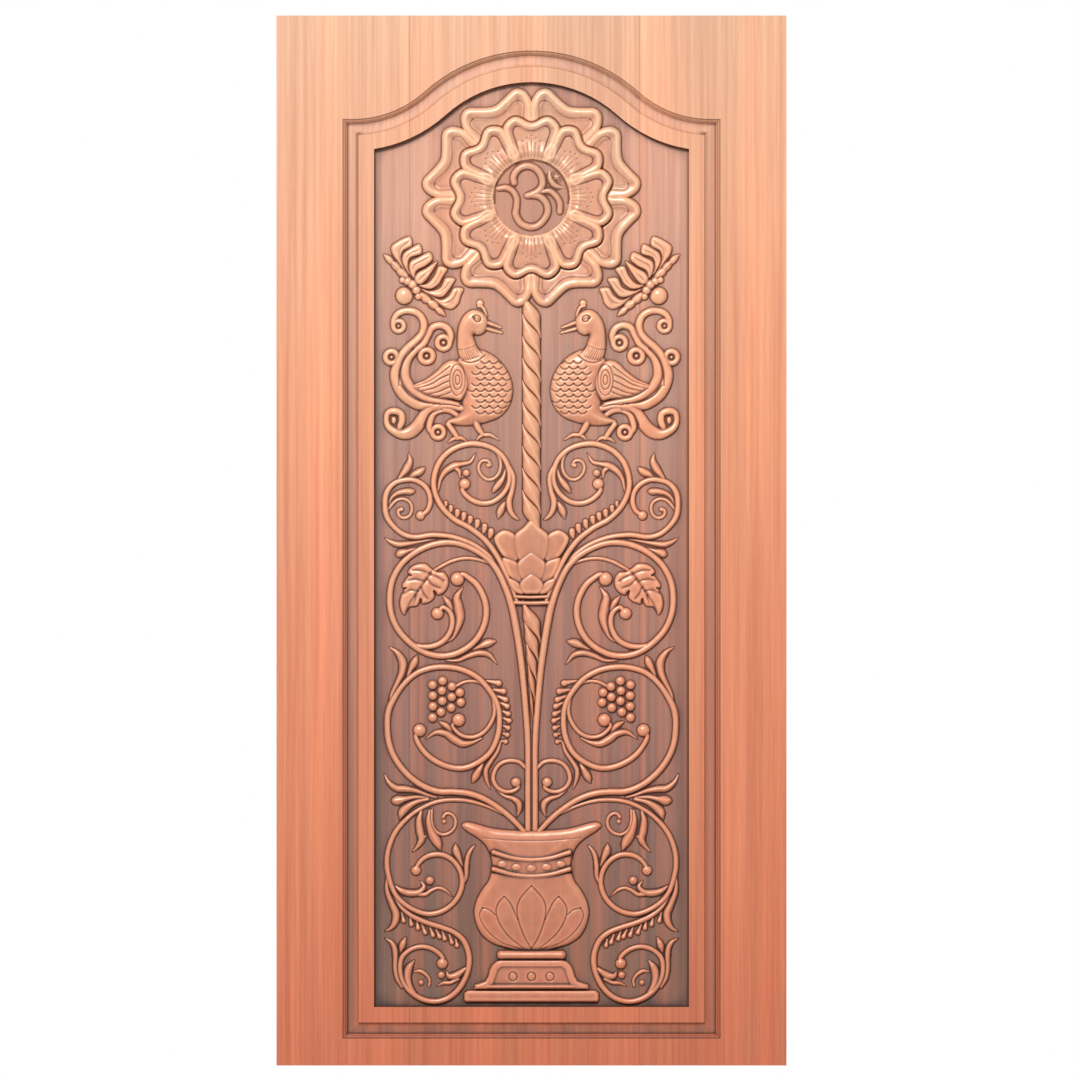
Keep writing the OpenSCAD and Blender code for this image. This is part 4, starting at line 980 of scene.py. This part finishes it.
# Right halves of the tiers and leaves at their left side, each with the heights of its top and its base
CALYX_TIERS = [([0, 520, 8.5, 527.5, 17, 535, 18, 545.5, 13.5, 560, 0, 566], 8.5, 2),
               ([0, 551.5, 7.5, 555.5, 14.5, 563, 14, 573, 9, 582, 0, 586], 10.5, 3),
               ([0, 572.5, 7, 576.5, 12.5, 583, 12, 590.5, 8, 594, 0, 594.5], 12.5, 4)]
CALYX_SIDES = [([516.5, 536.5, 510.5, 531.5, 503, 530, 494, 537.5, 497.5, 548.5, 506.5, 559.5, 518, 561.5],
               7.5, 1), ([519, 563.5, 511.5, 558.5, 502.5, 558, 505.5, 570.5, 512.5, 580.5, 522.5, 583.5],
               9.5, 2), ([521, 584, 514.5, 579, 507, 578, 510, 587.5, 516.5, 593.5, 523.5, 594.5], 11.5, 3)]
# Cords under the tiers: levels, half their length and their width
CALYX_CORDS = (596.5, 602.5)
CORD_HALF = 16.5
CORD_WIDE = 4.4


def level_strand(half, down, width, sag=0.0):
    """A strand straight across the centre line, a little lower in the middle"""
    return [(MIDDLE - half, down, width), (MIDDLE, down + sag, width), (MIDDLE + half, down, width)]


def calyx_relief():
    relief = Relief(490, 514, 573, 612, FINE_CELL)
    for (outline, high, base), (sides, side_high, side_base) in zip(CALYX_TIERS, CALYX_SIDES):
        for edge in (sides, rows(sides, 2) * (-1, 1) + (2 * MIDDLE, 0)):
            relief.cushion(edge, side_high - side_base, roll=6, crown=1, base=side_base)
        relief.cushion(both_sides(outline), high - base, roll=6, crown=1.5, base=base)
    for down in CALYX_CORDS:
        relief.strand(level_strand(CORD_HALF, down, CORD_WIDE, sag=0.6), rise=1.1)
    return relief


carved_piece("calyx_carving", calyx_relief().mesh("calyx_carving"), "lotus_calyx")

# Vase on its foot, drawn from the centre line

VASE_HALF = [70, 825.5, 66, 830.5, 57.5, 836, 50.6, 841, 45.5, 846.5, 43, 851, 40.6, 858, 39.5, 866,
             41.4, 876, 44, 882, 47.8, 887, 52, 893.5, 55.5, 901, 57.5, 910, 57, 918, 54.3, 927,
             48.2, 936.8, 37.5, 944, 24, 948.3, 14, 951]
VASE_LIP = [-66, 822, -35, 828.5, 0, 830.5, 35, 828.5, 66, 822]
LIP_LINE = [-50, 837.5, -25, 840, 0, 840.6, 25, 840, 50, 837.5]
VASE_PETALS = [[0, 886, 6, 892, 12, 900, 14.5, 909, 12.5, 922, 7, 937, 0, 949],
               [27.3, 896.6, 33, 903, 35.5, 911, 32.5, 922, 24, 935, 8, 948.5],
               [27.3, 896.6, 22, 902, 17, 912, 13.5, 920],
               [49.2, 908, 52, 914, 50, 922, 42, 933, 28, 943.5, 10, 949],
               [49.2, 908, 42, 910, 36, 915]]
FOOT_HALF = [30, 959.5, 35, 961, 39.5, 965, 42, 970, 43.7, 976.5, 46.5, 981, 52, 983, 57, 984.5,
             57.5, 989.5]
FOOT_PANEL = [30, 966, 34.5, 969, 36.5, 976, 40, 985]
PANEL_DEEP = 2.0
PLINTH = [64, 990.3, 67.5, 993, 67.5, 1000, 66, 1002]
# Rings round the neck: where they end at the sides and hang to in the middle
NECK_RINGS = [(852.3, 859.8), (869.1, 876)]
NECK_HALF = 38.0
NECK_RING_WIDE = 4.4
NECK_BEADS = [(-29, 864.3), (-15, 867.2), (0, 868.3), (15, 867.2), (29, 864.3)]
# Dots on the foot: across, level, and radius of the groove round each
FOOT_DOTS = (-18.5, 0, 18.5)
DOT_LEVEL = 976.5
DOT_R = 4.2


def vase_relief():
    relief = Relief(459, 816, 604, 1005)
    body = np.concatenate([centred(VASE_LIP), both_sides(VASE_HALF)])
    relief.cushion(body, high=8, roll=14, crown=6)
    relief.groove(centred(LIP_LINE), width=2.2, depth=1.0)
    for side, middle in NECK_RINGS:
        hanging = [(MIDDLE + NECK_HALF * t, middle + (side - middle) * t * t, NECK_RING_WIDE)
                   for t in (-1, -0.5, 0, 0.5, 1)]
        relief.strand(hanging, rise=0.55, lift=11)
    for x, y in NECK_BEADS:
        relief.knob(MIDDLE + x, y, 4.6, 2.4, relief.height(MIDDLE + x, y), 0.72)
    for line in VASE_PETALS:
        relief.grooves((centred(line, -1), centred(line)), width=2.3, depth=1.6)
    relief.strand(level_strand(30, 955, 9.6), rise=0.72)
    relief.cushion(both_sides(FOOT_HALF)[::-1], high=10, roll=5, crown=1, rounded=False)
    at, deep = relief.inside(both_sides(FOOT_PANEL), rounded=False)
    relief.h[at] -= np.where(deep > 0, PANEL_DEEP * np.clip(deep / PANEL_DEEP, 0, 1), 0)
    for x in FOOT_DOTS:
        relief.groove(ring(MIDDLE + x, DOT_LEVEL, DOT_R, DOT_R, 11), width=2.0, depth=1.8)
        relief.knob(MIDDLE + x, DOT_LEVEL, 2.6, 0.8, base=8.6)
    relief.strand(level_strand(43, 986.6, 2.2), rise=0.6, lift=10.6)
    relief.cushion(both_sides(PLINTH), high=8.5, roll=3.5, crown=0.5, rounded=False)
    return relief


carved_piece("vase_carving", vase_relief().mesh("vase_carving"), "vase")


# Geometry Nodes: what repeats

def new_tree(name, inputs):
    """A tree with inputs of its own beside the geometry, by name and kind"""
    tree = bpy.data.node_groups.new(name, "GeometryNodeTree")
    for label, kind in {"Geometry": "Geometry", **inputs}.items():
        tree.interface.new_socket(name=label, in_out="INPUT", socket_type="NodeSocket" + kind)
    tree.interface.new_socket(name="Geometry", in_out="OUTPUT", socket_type="NodeSocketGeometry")
    wiring = Wiring(tree)
    return wiring, wiring.add("NodeGroupInput").outputs, wiring.add("NodeGroupOutput").inputs


def copied(wiring, geometry, amount):
    """Copies of a geometry, as instances, and the number of each"""
    single = wiring.add("GeometryNodeGeometryToInstance", {0: geometry})
    copies = wiring.add("GeometryNodeDuplicateElements", domain="INSTANCE")
    wiring.put(copies.inputs["Geometry"], single.outputs[0])
    wiring.put(copies.inputs["Amount"], amount)
    return copies.outputs["Geometry"], copies.outputs["Duplicate Index"]


def close_tree(wiring, geometry, give):
    """Every tree ends with real geometry in the carved wood"""
    real = wiring.add("GeometryNodeRealizeInstances", {0: geometry})
    wood = wiring.add("GeometryNodeSetMaterial", {"Geometry": real.outputs[0], "Material": CARVED})
    wiring.put(give["Geometry"], wood.outputs[0])
    return wiring.tree


def grown(name, start, tree, values):
    """A start mesh grown by a tree with its inputs set by identifier, as a plain mesh"""
    source = bpy.data.objects.new(name + "_start", start)
    bpy.context.scene.collection.objects.link(source)
    modifier = source.modifiers.new("grow", "NODES")
    modifier.node_group = tree
    for item in tree.interface.items_tree:
        if item.in_out == "INPUT" and item.name in values:
            modifier[item.identifier] = values[item.name]
    graph = bpy.context.evaluated_depsgraph_get()
    mesh = bpy.data.meshes.new_from_object(source.evaluated_get(graph))
    mesh.name = name
    source.modifiers.clear()
    bpy.data.objects.remove(source)
    return mesh


# Depths of a ball between which its painted highlight in front turns to painted shade at its base, and the
# level of that painted highlight
BEAD_SHADE_AND_HIGHLIGHT = (-0.75, -0.1, -0.5)


def bead_tree():
    """A ball, flattened where it meets the ground, on every point, as large as the point says"""
    wiring, take, give = new_tree("beads", {"Sides": "Int", "Rings": "Int", "Rise": "Float",
                                            "Let in": "Float"})
    ball = wiring.add("GeometryNodeMeshUVSphere",
                      {"Radius": 1.0, "Segments": take["Sides"], "Rings": take["Rings"]})
    turned = wiring.add("GeometryNodeTransform",
                        {"Geometry": ball.outputs["Mesh"], "Rotation": (math.pi / 2, 0, 0)})
    x, y, z = wiring.apart(wiring.add("GeometryNodeInputPosition").outputs[0])
    raised = wiring.product(wiring.math("MINIMUM", y, take["Let in"]), take["Rise"])
    joined = wiring.add("ShaderNodeCombineXYZ", {"X": x, "Y": raised, "Z": z})
    flat = wiring.add("GeometryNodeSetPosition",
                      {"Geometry": turned.outputs[0], "Position": joined.outputs[0]})
    even = wiring.add("GeometryNodeSetShadeSmooth", {"Geometry": flat.outputs[0]})
    # Painted highlight on the front of the ball, turning to painted shade towards its base
    painted_shade = wiring.spread(y, *BEAD_SHADE_AND_HIGHLIGHT)
    shaded_ball = wiring.add("GeometryNodeStoreNamedAttribute",
                         {"Name": "painted_shade_and_highlight", "Geometry": even.outputs[0], "Value": painted_shade}, data_type="FLOAT")
    size = wiring.add("GeometryNodeInputNamedAttribute", {"Name": "radius"}, data_type="FLOAT")
    laid = wiring.add("GeometryNodeInstanceOnPoints",
                      {"Points": take["Geometry"], "Instance": shaded_ball.outputs[0],
                       "Scale": size.outputs["Attribute"]})
    return close_tree(wiring, laid.outputs[0], give)


BEADS = bead_tree()


def beads(name, places, mirrored):
    """Beads at drawn places, each with its radius"""
    start = bpy.data.meshes.new(name + "_places")
    side = -1 if mirrored else 1
    spots = [on_leaf(across, down) for across, down, r in places]
    start.from_pydata([(side * x / 1000, GROUND_Y, z / 1000) for x, z in spots], [], [])
    radius = start.attributes.new("radius", "FLOAT", "POINT")
    radius.data.foreach_set("value", [r * SQUARE / 1000 for across, down, r in places])
    return grown(name, start, BEADS, {"Sides": 20, "Rings": 14, "Rise": 0.95, "Let in": 0.06})


# Grapes of one bunch, column by column
GRAPES = [(432.6, 685), (432.9, 695.7), (432.9, 706.4), (432.6, 717.5), (442.6, 681), (442, 690.8),
          (442.4, 701), (441, 712), (452, 686.6), (451.7, 697), (451.2, 707.6), (459.8, 692.6),
          (460.8, 702.4)]
GRAPE_R = 5.1
grapes = [(across, down, GRAPE_R) for across, down in GRAPES]
berries = [finger[2:] for finger in GRAPE_FINGERS + LOW_FINGERS] + PEARLS + EYES
for side, mirrored in (("left", False), ("right", True)):
    for name, places, node in (("_grape_carving", grapes, "_grapes"),
                               ("_berry_carving", berries, "_berries")):
        carved_piece(side + name, beads(side + name, places, mirrored), side + node)


def twist_tree():
    """Turns of a twisted stem set one under another, each narrowed by a share of the first"""
    wiring, take, give = new_tree("twist", {"Turns": "Int", "Pitch": "Float", "Narrowing": "Float"})
    copies, index = copied(wiring, take["Geometry"], take["Turns"])
    step = wiring.add("ShaderNodeCombineXYZ", {"Z": wiring.product(index, take["Pitch"], -1.0)})
    share = wiring.math("SUBTRACT", 1.0, wiring.product(index, take["Narrowing"]))
    wide = wiring.add("ShaderNodeCombineXYZ", {"X": share, "Y": 1.0, "Z": 1.0})
    moved = wiring.add("GeometryNodeTranslateInstances",
                       {"Instances": copies, "Translation": step.outputs[0], "Local Space": False})
    narrow = wiring.add("GeometryNodeScaleInstances",
                        {"Instances": moved.outputs[0], "Scale": wide.outputs[0]})
    return close_tree(wiring, narrow.outputs[0], give)


TWIST = twist_tree()
# Half the width of the stem and how far a turn drops across it
TWIST_HALF = 9.2
TWIST_DROP = 29.0


def turn_relief(down, pitch):
    """One turn of the twist: a band that runs down across the stem from its left edge to its right"""
    relief = Relief(520, down - 32, 543, down + 32, FINE_CELL)
    turns = np.linspace(-0.5, 0.5, 13)
    top = [(MIDDLE + TWIST_HALF * math.sin(math.pi * t), down + TWIST_DROP * t - 0.5 * pitch) for t in turns]
    foot = [(x, y + pitch + 0.6) for x, y in reversed(top)]
    relief.cushion(top + foot, high=11, roll=17, rounded=False)
    across = np.clip(np.abs(relief.x[None, :]) / (SQUARE * TWIST_HALF), 0, 1)
    relief.h = np.where(relief.h > 0, relief.h * (0.45 + 0.55 * half_round(across)), relief.h)
    return relief


# Stems: name, level of the first turn, pitch in squares and in metres, number of turns and narrowing
for stem, down, pitch, drop, turns, narrowing in (("upper", 314.5, 22, 0.044, 10, 0.0),
                                                  ("lower", 620.5, 20.5, 0.041, 5, 0.19)):
    values = {"Turns": turns, "Pitch": drop, "Narrowing": narrowing}
    turn = turn_relief(down, pitch).mesh(stem + "_turn")
    carved_piece(stem + "_stem_carving", grown(stem + "_stem_carving", turn, TWIST, values), stem + "_stem")

# Rosette: two rings of eight petals round a sunk disc with its sign

ROSETTE = (531.5, 197.5)
PETALS = 8
PETAL_TURN = 45.0
DISC_R = 38.0
DISC_H = 7.5
# Inner petals: height at which they sit on the outer ones, width of the sunk, painted shade line round them,
# greatest height
HEART_SEAT = 7.0
HEART_SHADE = 4.5
HEART_TOP = 16.6
# Distance within which the outer petals fall away, over what width and how far
FALL_R = 92
FALL_WIDE = 16
FALL = 3.5
# Ring in which the inner petals are pleated: distance, width, rise, depth and closeness of the pleats
PLEAT_R = 47
PLEAT_WIDE = 11
PLEAT_RISE = 3.2
PLEAT_DEEP = 0.8
PLEAT_CLOSE = 24
# Hollow between that ring and the disc: width and depth
HOLLOW_WIDE = 9
HOLLOW_DEEP = 4
# Half of each petal's edge and of the line that follows it: distance from the centre and turn from the axis
OUTER_EDGE = [(99, 0), (100.5, 3.5), (105, 8.5), (109.5, 12.5), (110.3, 15.3), (107.5, 18.8), (102, 21.3),
              (97, 22.7), (92, 23.5), (83, 23.8), (72, 24.2)]
OUTER_LINE = [(87.5, 0), (88.5, 4), (93, 9), (97, 12.5), (97.5, 15.5), (93.5, 17.8), (86, 17.3), (79, 16.5)]
INNER_EDGE = [(75, 0), (76, 3), (80, 7.5), (82.3, 11), (82, 14.5), (79.5, 18.5), (75.5, 22), (69, 23.8),
              (60, 24.6), (48, 25.6), (34, 28)]
INNER_LINE = [(66.5, 0), (67.5, 4), (71.5, 9), (72.5, 12.5), (68.5, 15.5), (58, 15.5), (46, 15)]
# Stamens on an inner petal: turn from the axis and distance of the outer end
STAMENS = ((-9, 52), (-4.5, 55), (0, 57), (4.5, 55), (9, 52))


def about(r, turn):
    """A drawn point at a distance from the rosette's centre and a turn from upright"""
    return ROSETTE[0] + r * math.sin(math.radians(turn)), ROSETTE[1] - r * math.cos(math.radians(turn))


def rosette_part(half, top, bottom, cell):
    """A relief over part of the rosette, from its centre line and its centre"""
    return Relief(ROSETTE[0] - half, ROSETTE[1] - top, ROSETTE[0] + half, ROSETTE[1] - bottom, cell)


def from_centre(relief):
    """How far each grid point lies from the rosette's centre, in squares, and its turn from upright"""
    px = relief.x[None, :] - on_leaf(*ROSETTE)[0]
    pz = relief.z[:, None] - on_leaf(*ROSETTE)[1]
    return np.sqrt(px**2 + pz**2) / SQUARE, np.degrees(np.arctan2(px, pz))


def beaded(relief, edge, high, bead, fall, width, base):
    """A petal with a round bead along its edge and a surface that falls away behind it"""
    whole = [about(r, t) for r, t in edge] + [about(r, -t) for r, t in reversed(edge) if t > 0]
    at, deep = relief.cushion(whole, high, bead, 0, base)
    relief.h[at] -= np.where(deep > bead, fall * np.clip((deep - bead) / width, 0, 1)**1.3, 0)


def outlined(relief, line, width, depth):
    """The line that follows a petal's edge, cut from one side of its axis to the other"""
    other = [about(r, -t) for r, t in reversed(line[1:])]
    relief.groove(other + [about(r, t) for r, t in line], width, depth)


def outer_petal():
    relief = rosette_part(48, 114, 60, CELL)
    beaded(relief, OUTER_EDGE, high=12.5, bead=10, fall=6.5, width=16, base=0)
    fall = np.clip((FALL_R - from_centre(relief)[0]) / FALL_WIDE, 0, 1)
    relief.h = np.where(relief.h > WORKED, np.maximum(relief.h - FALL * fall, WORKED), relief.h)
    outlined(relief, OUTER_LINE, width=2.2, depth=1.6)
    heart = INNER_EDGE + [(r, -t) for r, t in reversed(INNER_EDGE)]
    for turn in (-PETAL_TURN / 2, PETAL_TURN / 2):
        at, deep = relief.inside([about(r, turn + t) for r, t in heart])
        near = np.clip(1 + deep / HEART_SHADE, 0, 1)
        h = relief.h[at]
        relief.h[at] = np.where(h > WORKED, np.maximum(h - 2 * near, WORKED), h)
        # Painted shade along the edge of the inner petals
        relief.stain_and_painted_shade[at] = np.maximum(relief.stain_and_painted_shade[at], np.where(near > 0.3, 0.2 + 0.8 * near, -1))
    return relief


def inner_petal():
    relief = rosette_part(38, 86, 28, FINE_CELL)
    relief.seat = HEART_SEAT
    beaded(relief, INNER_EDGE, high=9.5, bead=8, fall=5.5, width=11, base=HEART_SEAT)
    out, turn = from_centre(relief)
    pleat = np.clip(1 - np.abs(out - PLEAT_R) / PLEAT_WIDE, 0, 1)
    wave = PLEAT_RISE + PLEAT_DEEP * np.cos(np.radians(turn * PLEAT_CLOSE))
    relief.h += np.where(relief.h > 0, pleat * wave, 0)
    hollow = np.clip((PLEAT_R - out) / HOLLOW_WIDE, 0, 1)**2 * HOLLOW_DEEP
    relief.h -= np.where(relief.h > 0, hollow, 0)
    relief.h = np.minimum(relief.h, HEART_TOP)
    outlined(relief, INNER_LINE, width=2.0, depth=1.5)
    for turn, end in STAMENS:
        relief.groove([about(39.5, turn), about(PLEAT_R, turn), about(end, turn)], width=1.4, depth=1.2)
        x, y = about(end + 5, turn)
        relief.groove([(x, y), (x + 0.3, y + 0.3)], width=2.2, depth=1.8)
    relief.h = np.where(out < DISC_R, np.minimum(relief.h, -WALL * SQUARE * (DISC_R - out)), relief.h)
    return relief


# Strokes of the sign, and the star over it with the reach of its shade
SIGN = [[514.2, 183, 6.4, 513.4, 177.4, 6.8, 517.4, 170.2, 6.8, 524.6, 166.2, 6.8, 532.6, 167, 6.8,
        539, 171.8, 6.8, 542.2, 179, 6.8, 542.2, 185.4, 6.8, 538.2, 191, 6.8, 530.2, 195, 6.8,
        527, 195.8, 6], [530.2, 195, 6, 539.8, 196.6, 6.8, 546.2, 203, 6.8, 547.8, 211, 6.8,
        544.6, 219, 6.8, 536.6, 226.2, 6.8, 528.6, 227, 6.8, 520.6, 223, 6.8, 515.8, 214.2, 6.8,
        516.6, 206.2, 6.4, 516.6, 198.2, 6, 512.6, 191, 6, 506.2, 187.8, 6, 498, 188.6, 5], [541, 192, 4,
        549.4, 191, 5.5, 555.8, 195.8, 6, 559.8, 203, 6, 559.8, 211.8, 6], [549.4, 171, 2, 550.2, 179, 5,
        555, 185.5, 5.5, 563.8, 187.8, 2]]
STAR = (556.5, 177)
STAR_RAY = 3.6
STAR_SHADE = 7
# Stain and painted shade of the sunk disc, painted shade round the star, painted shadow along the upper rim,
# the most painted highlight the sign keeps, and the width and turn of that rim
DISC_STAIN_AND_SHADE = 0.55
STAR_PAINTED_SHADE = 0.8
RIM_PAINTED_SHADOW = 0.95
SIGN_HIGHLIGHT_LIMIT = -0.1
RIM_WIDE = 2.2
RIM_TURN = 100


def disc_relief():
    relief = rosette_part(42, 42, -42, FINE_CELL)
    relief.cushion([about(DISC_R + 3, t) for t in range(0, 360, 15)], DISC_H, roll=1.5)
    # The sunk disc gets at least the stained tone, with painted shade
    relief.stain_and_painted_shade = np.where(relief.h > 0, DISC_STAIN_AND_SHADE, -1)
    for stroke in SIGN:
        relief.strand(stroke, rise=0.55, high=6.5, lift=DISC_H)
    x, y = STAR
    for turn in np.radians(range(0, 360, 72)):
        ray = [(x, y, 3.0), (x + STAR_RAY * math.sin(turn), y - STAR_RAY * math.cos(turn), 1.2)]
        relief.strand(ray, rise=0.7, high=3.5, lift=DISC_H)
    # Painted shade round the star
    star_x, star_z = on_leaf(x, y)
    shaded = np.hypot(relief.x[None, :] - star_x, relief.z[:, None] - star_z) < STAR_SHADE * SQUARE
    relief.stain_and_painted_shade = np.where(shaded, STAR_PAINTED_SHADE, relief.stain_and_painted_shade)
    # Painted shadow along the upper rim of the disc
    out, turn = from_centre(relief)
    rim = (out > DISC_R - RIM_WIDE) & (np.abs(turn) < RIM_TURN)
    relief.stain_and_painted_shade = np.where(rim, RIM_PAINTED_SHADOW, relief.stain_and_painted_shade)
    # The sign's strokes keep at most a faint painted highlight
    relief.stain_and_painted_shade = np.where(relief.h > DISC_H + 1.5, SIGN_HIGHLIGHT_LIMIT, relief.stain_and_painted_shade)
    return relief


def ring_tree():
    """Petals set round the rosette's centre"""
    wiring, take, give = new_tree("petal_ring", {"Petals": "Int", "Step": "Float", "First turn": "Float",
                                                 "Centre": "Vector"})
    copies, index = copied(wiring, take["Geometry"], take["Petals"])
    turn = wiring.line(index, take["Step"], take["First turn"])
    about_y = wiring.add("ShaderNodeCombineXYZ", {"Y": turn})
    spun = wiring.add("GeometryNodeRotateInstances", {"Instances": copies, "Rotation": about_y.outputs[0],
                                                      "Pivot Point": take["Centre"], "Local Space": False})
    return close_tree(wiring, spun.outputs[0], give)


RING = ring_tree()
centre_x, centre_z = on_leaf(*ROSETTE)
centre = (centre_x / 1000, GROUND_Y, centre_z / 1000)
for name, petal, first in (("rosette_petals", outer_petal().mesh("outer_petal"), PETAL_TURN / 2),
                           ("rosette_heart", inner_petal().mesh("inner_petal"), 0.0)):
    values = {"Petals": PETALS, "Step": math.radians(PETAL_TURN), "First turn": math.radians(first),
              "Centre": centre}
    carved_piece(name, grown(name, petal, RING, values), "rosette")
carved_piece("rosette_disc", disc_relief().mesh("rosette_disc"), "rosette")


# Stage: pale floor, soft light and the camera square to the leaf

# Half the side of the floor, and the share of the white surround that lights the leaf
FLOOR_HALF = 3
AMBIENT = 0.09


def stage():
    floor_mesh = bpy.data.meshes.new("floor")
    corners = [(x * FLOOR_HALF, y * FLOOR_HALF, 0) for x, y in ((-1, -1), (1, -1), (1, 1), (-1, 1))]
    floor_mesh.from_pydata(corners, [], [(0, 1, 2, 3)])
    floor = bpy.data.objects.new("floor", floor_mesh)
    bpy.context.scene.collection.objects.link(floor)
    pale = bpy.data.materials.new("pale_floor")
    pale.use_nodes = True
    shader = pale.node_tree.nodes["Principled BSDF"]
    shader.inputs["Base Color"].default_value = (0.72, 0.72, 0.72, 1)
    shader.inputs["Roughness"].default_value = 0.7
    floor_mesh.materials.append(pale)

    world = bpy.data.worlds.new("studio")
    bpy.context.scene.world = world
    world.use_nodes = True
    wiring = Wiring(world.node_tree)
    rays = wiring.add("ShaderNodeLightPath").outputs
    mirrored = wiring.math("MAXIMUM", rays["Is Glossy Ray"], rays["Is Transmission Ray"])
    seen = wiring.math("MAXIMUM", rays["Is Camera Ray"], mirrored)
    level = wiring.add("ShaderNodeMix", {0: seen, 2: AMBIENT, 3: 1.0})
    surround = world.node_tree.nodes["Background"].inputs
    wiring.put(surround["Strength"], level.outputs[0])
    wiring.put(surround["Color"], (1, 1, 1, 1))


def lamp(name, place, target, size, power):
    light = bpy.data.lights.new(name, "AREA")
    light.shape = "DISK"
    light.size = size
    light.energy = power
    obj = bpy.data.objects.new(name, light)
    obj.location = place
    obj.rotation_euler = (Vector(target) - Vector(place)).to_track_quat("-Z", "Y").to_euler()
    bpy.context.scene.collection.objects.link(obj)


stage()
lamp("key", (-1.1, -4.8, 4.3), (0, 0, 1.1), size=1.4, power=300)
lamp("fill", (1.2, -5.5, 1.6), (0, 0, 1.05), size=3.0, power=12)

camera = bpy.data.cameras.new("camera")
camera.type = "ORTHO"
camera.ortho_scale = 2.16
view = bpy.data.objects.new("camera", camera)
view.location = (0.017, -6.0, 1.051)
view.rotation_euler = (math.pi / 2, 0, 0)
bpy.context.scene.collection.objects.link(view)
bpy.context.scene.camera = view
bpy.context.scene.view_settings.view_transform = "Standard"
